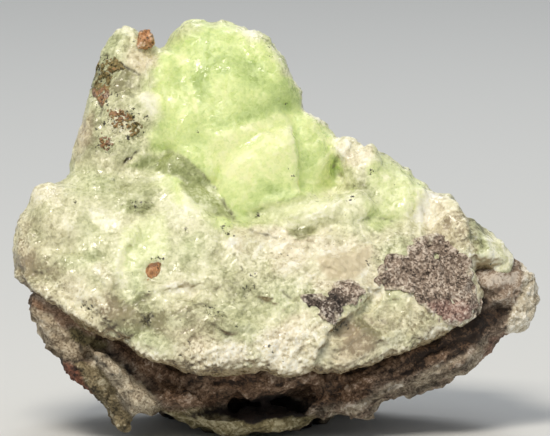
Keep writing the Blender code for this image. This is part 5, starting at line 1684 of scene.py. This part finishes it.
# %% Copper grains and crusts
GRAINS = {
    # middle x, w, d, then radii across, up and in depth
    "copper_crest": ((-19.6, 59.5, 5.4), (1.15, 1.4, 1.5)),
    "copper_front": ((-18.1, 24.2, -6.7), (1.15, 1.6, 1.2)),
}
CRUSTS = {
    # outline and middle
    "copper_upper": ([
        (-26.2, 57.0), (-23.7, 57.0), (-22.4, 56.3), (-22.2, 55.2), (-23.9, 54.8), (-24.4, 54.0),
        (-24.6, 52.0), (-25.1, 50.4), (-26.1, 49.0), (-27.1, 50.6), (-27.7, 52.0), (-27.1, 53.1),
        (-27.0, 55.3),
    ], (-25.6, 54.6)),
    "copper_middle": ([
        (-25.0, 49.6), (-23.8, 48.8), (-22.5, 49.6), (-21.2, 48.6), (-20.6, 47.1), (-19.9, 46.8),
        (-20.0, 45.0), (-21.7, 44.9), (-22.8, 45.7), (-23.9, 45.3), (-24.7, 47.1), (-25.4, 48.2),
    ], (-22.8, 47.3)),
    "copper_low": ([
        (-27.1, 45.2), (-25.8, 45.8), (-24.3, 45.2), (-23.9, 43.8), (-24.7, 42.7), (-25.8, 42.3),
        (-26.9, 43.3),
    ], (-25.6, 44.1)),
}
RIPENESS = {
    # how far each crust has gone from khaki, below 0, to pinkish brown, above 0
    "copper_upper": lambda points: 0.24 * smooth((53.0 - points[:, 1]) / 1.5) - 0.08,
    "copper_middle": lambda points: 0.06 - 0.16 * smooth((points[:, 0] + 22.6) / 1.5),
    "copper_low": lambda points: np.full(len(points), 0.16),
}


def grain(place, radii, rows=48, columns=96):
    """A chunky grain.

    A ball of unit radius has its sines and cosines raised to 0.6, which makes it blocky, is swollen
    by chips of 1.6 and 0.7 mm, and then takes its radii.
    """
    angles = np.arange(columns) * 2 * np.pi / columns
    polar = np.linspace(0, np.pi, rows + 1)[:, None]
    ball = np.stack([
        np.sin(polar) * np.cos(angles),
        np.sin(polar) * np.sin(angles),
        np.cos(polar) * np.ones(columns),
    ], axis=-1).reshape(-1, 3)
    ball = np.sign(ball) * np.abs(ball) ** 0.6
    where = ball * radii + place
    swell = 1 + 0.3 * shards(where, 1.6, 51, 0.05) + 0.08 * shards(where, 0.7, 61) + 0.05 * uneven(where, 0.4, 71)
    shaped = ball * radii * swell[:, None] + place
    return closed_grid(shaped.reshape(rows + 1, columns, 3))


def crumb_height(flat, edge):
    """Crumbs of 0.8 and 0.45 mm on a ground that lies just under the crust's skin."""
    ragged = np.clip(edge + 0.4 * uneven(flat, 0.9, 551), 0, None)
    rise = 0.55 * crumbs(flat, 0.75, 555) + 0.35 * crumbs(flat, 0.4, 557) + 0.15 * uneven(flat, 0.35, 559)
    return rise - 0.2 - 0.6 * np.exp(-((ragged / 0.4) ** 2))


copper_things = {}
for name, (middle, radii) in GRAINS.items():
    points, quads = grain(np.array(middle), np.array(radii))
    thing = mesh_object(name + "_grain", lay_down(points), quads)
    away = np.hypot(*((points - middle) / radii)[:, :2].T)
    keep(thing.data, "rim", smooth((away - 0.6) / 0.5))
    keep(thing.data, "ripe", np.full(len(points), -0.12 if name == "copper_front" else 0.0))
    thing.data.materials.append(copper_materials["native_copper"])
    copper_things[name] = (thing, "copper")
for name, (outline, middle) in CRUSTS.items():
    points, quads = flush_sheet(outline, middle, crumb_height, 0.8, 32, 140)
    thing = mesh_object(name + "_crust", lay_down(points), quads)
    keep(thing.data, "rim", 1 - smooth(inside(points[:, :2], outline) / 0.9))
    keep(thing.data, "ripe", RIPENESS[name](points))
    thing.data.materials.append(copper_materials["native_copper_tarnished"])
    copper_things[name] = (thing, "copper_tarnished")
for name, (thing, _) in copper_things.items():
    print(thing.name, len(thing.data.polygons), "faces")

# %% [markdown]
# ## Put each piece on its solid
#
# Points were laid out in a left-handed drawing, so the faces of the grid pieces are turned
# outwards here, and smooth shading is left to the stones. Then each piece takes the place of its
# solid and rides with the one body.

# %% Finish the pieces
def outwards(thing):
    """Turns the faces of a closed piece to look out of it."""
    work = bmesh.new()
    work.from_mesh(thing.data)
    work.normal_update()
    bmesh.ops.recalc_face_normals(work, faces=work.faces)
    work.to_mesh(thing.data)
    work.free()


pieces = [
    (prehnite, "prehnite", "prehnite"),
    (basalt, "basalt_matrix", "basalt"),
    *[(thing, name, "basalt_fragment") for name, thing in fragment_things.items()],
    *[(thing, name, slot) for name, (thing, slot) in copper_things.items()],
]
for thing, node, slot in pieces:
    outwards(thing)
    thing.data.shade_smooth()
    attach(thing, "root")
    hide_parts(node)
print(len(pieces), "pieces")

# %% [markdown]
# ## Floor and light
#
# A plain pale disc that is wide enough for a camera on any side, one large soft light high on the
# front left, a light from behind and above that makes the dome glow, and a pale surround that
# fills the shadows.

# %% Floor, lights and surround
def disc(radius, rows=6, columns=96):
    """A flat disc: x and y are the radius times the cosine and sine of the angle."""
    angles = np.arange(columns) * 2 * np.pi / columns
    ring = np.linspace(0, radius, rows)[1:, None]
    grid = np.stack([ring * np.cos(angles), ring * np.sin(angles), 0 * ring * angles], axis=-1)
    points = np.concatenate([[(0.0, 0.0, 0.0)], grid.reshape(-1, 3)])
    index = 1 + np.arange((rows - 1) * columns).reshape(rows - 1, columns)
    following = np.roll(index, -1, axis=1)
    quads = np.stack([index[:-1], index[1:], following[1:], following[:-1]], axis=-1)
    middle = np.stack([np.zeros(columns, int), index[0], following[0]], axis=-1)
    return points, quads.reshape(-1, 4).tolist() + middle.tolist()


floor = mesh_object("floor", *disc(4.0))
paper, tree = new_material("matt_paper")
shader = add(tree, "ShaderNodeBsdfPrincipled", {"Base Color": "#D6D8D8", "Roughness": 0.9})
add(tree, "ShaderNodeOutputMaterial", {"Surface": shader.outputs["BSDF"]})
floor.data.materials.append(paper)


def area_light(name, place, size, power, colour):
    """A square light at a place in metres that looks at the middle of the specimen."""
    light = bpy.data.lights.new(name, "AREA")
    light.size = size
    light.energy = power
    light.color = hex_colour(colour)[:3]
    thing = bpy.data.objects.new(name, light)
    bpy.context.scene.collection.objects.link(thing)
    thing.location = place
    thing.rotation_euler = (Vector((0, 0, 0.03)) - Vector(place)).to_track_quat("-Z", "Y").to_euler()
    return thing


area_light("key", (-0.15, -0.48, 0.62), 0.26, 4.9, "#FFF6E8")
area_light("back_top", (0.1, 0.4, 0.6), 0.3, 1.4, "#FFFFFF")
surround = bpy.data.worlds.new("surround")
bpy.context.scene.world = surround
surround.use_nodes = True
surround.node_tree.nodes["Background"].inputs["Color"].default_value = hex_colour("#E2E6EA")
surround.node_tree.nodes["Background"].inputs["Strength"].default_value = 0.40
bpy.context.scene.view_settings.view_transform = "Standard"
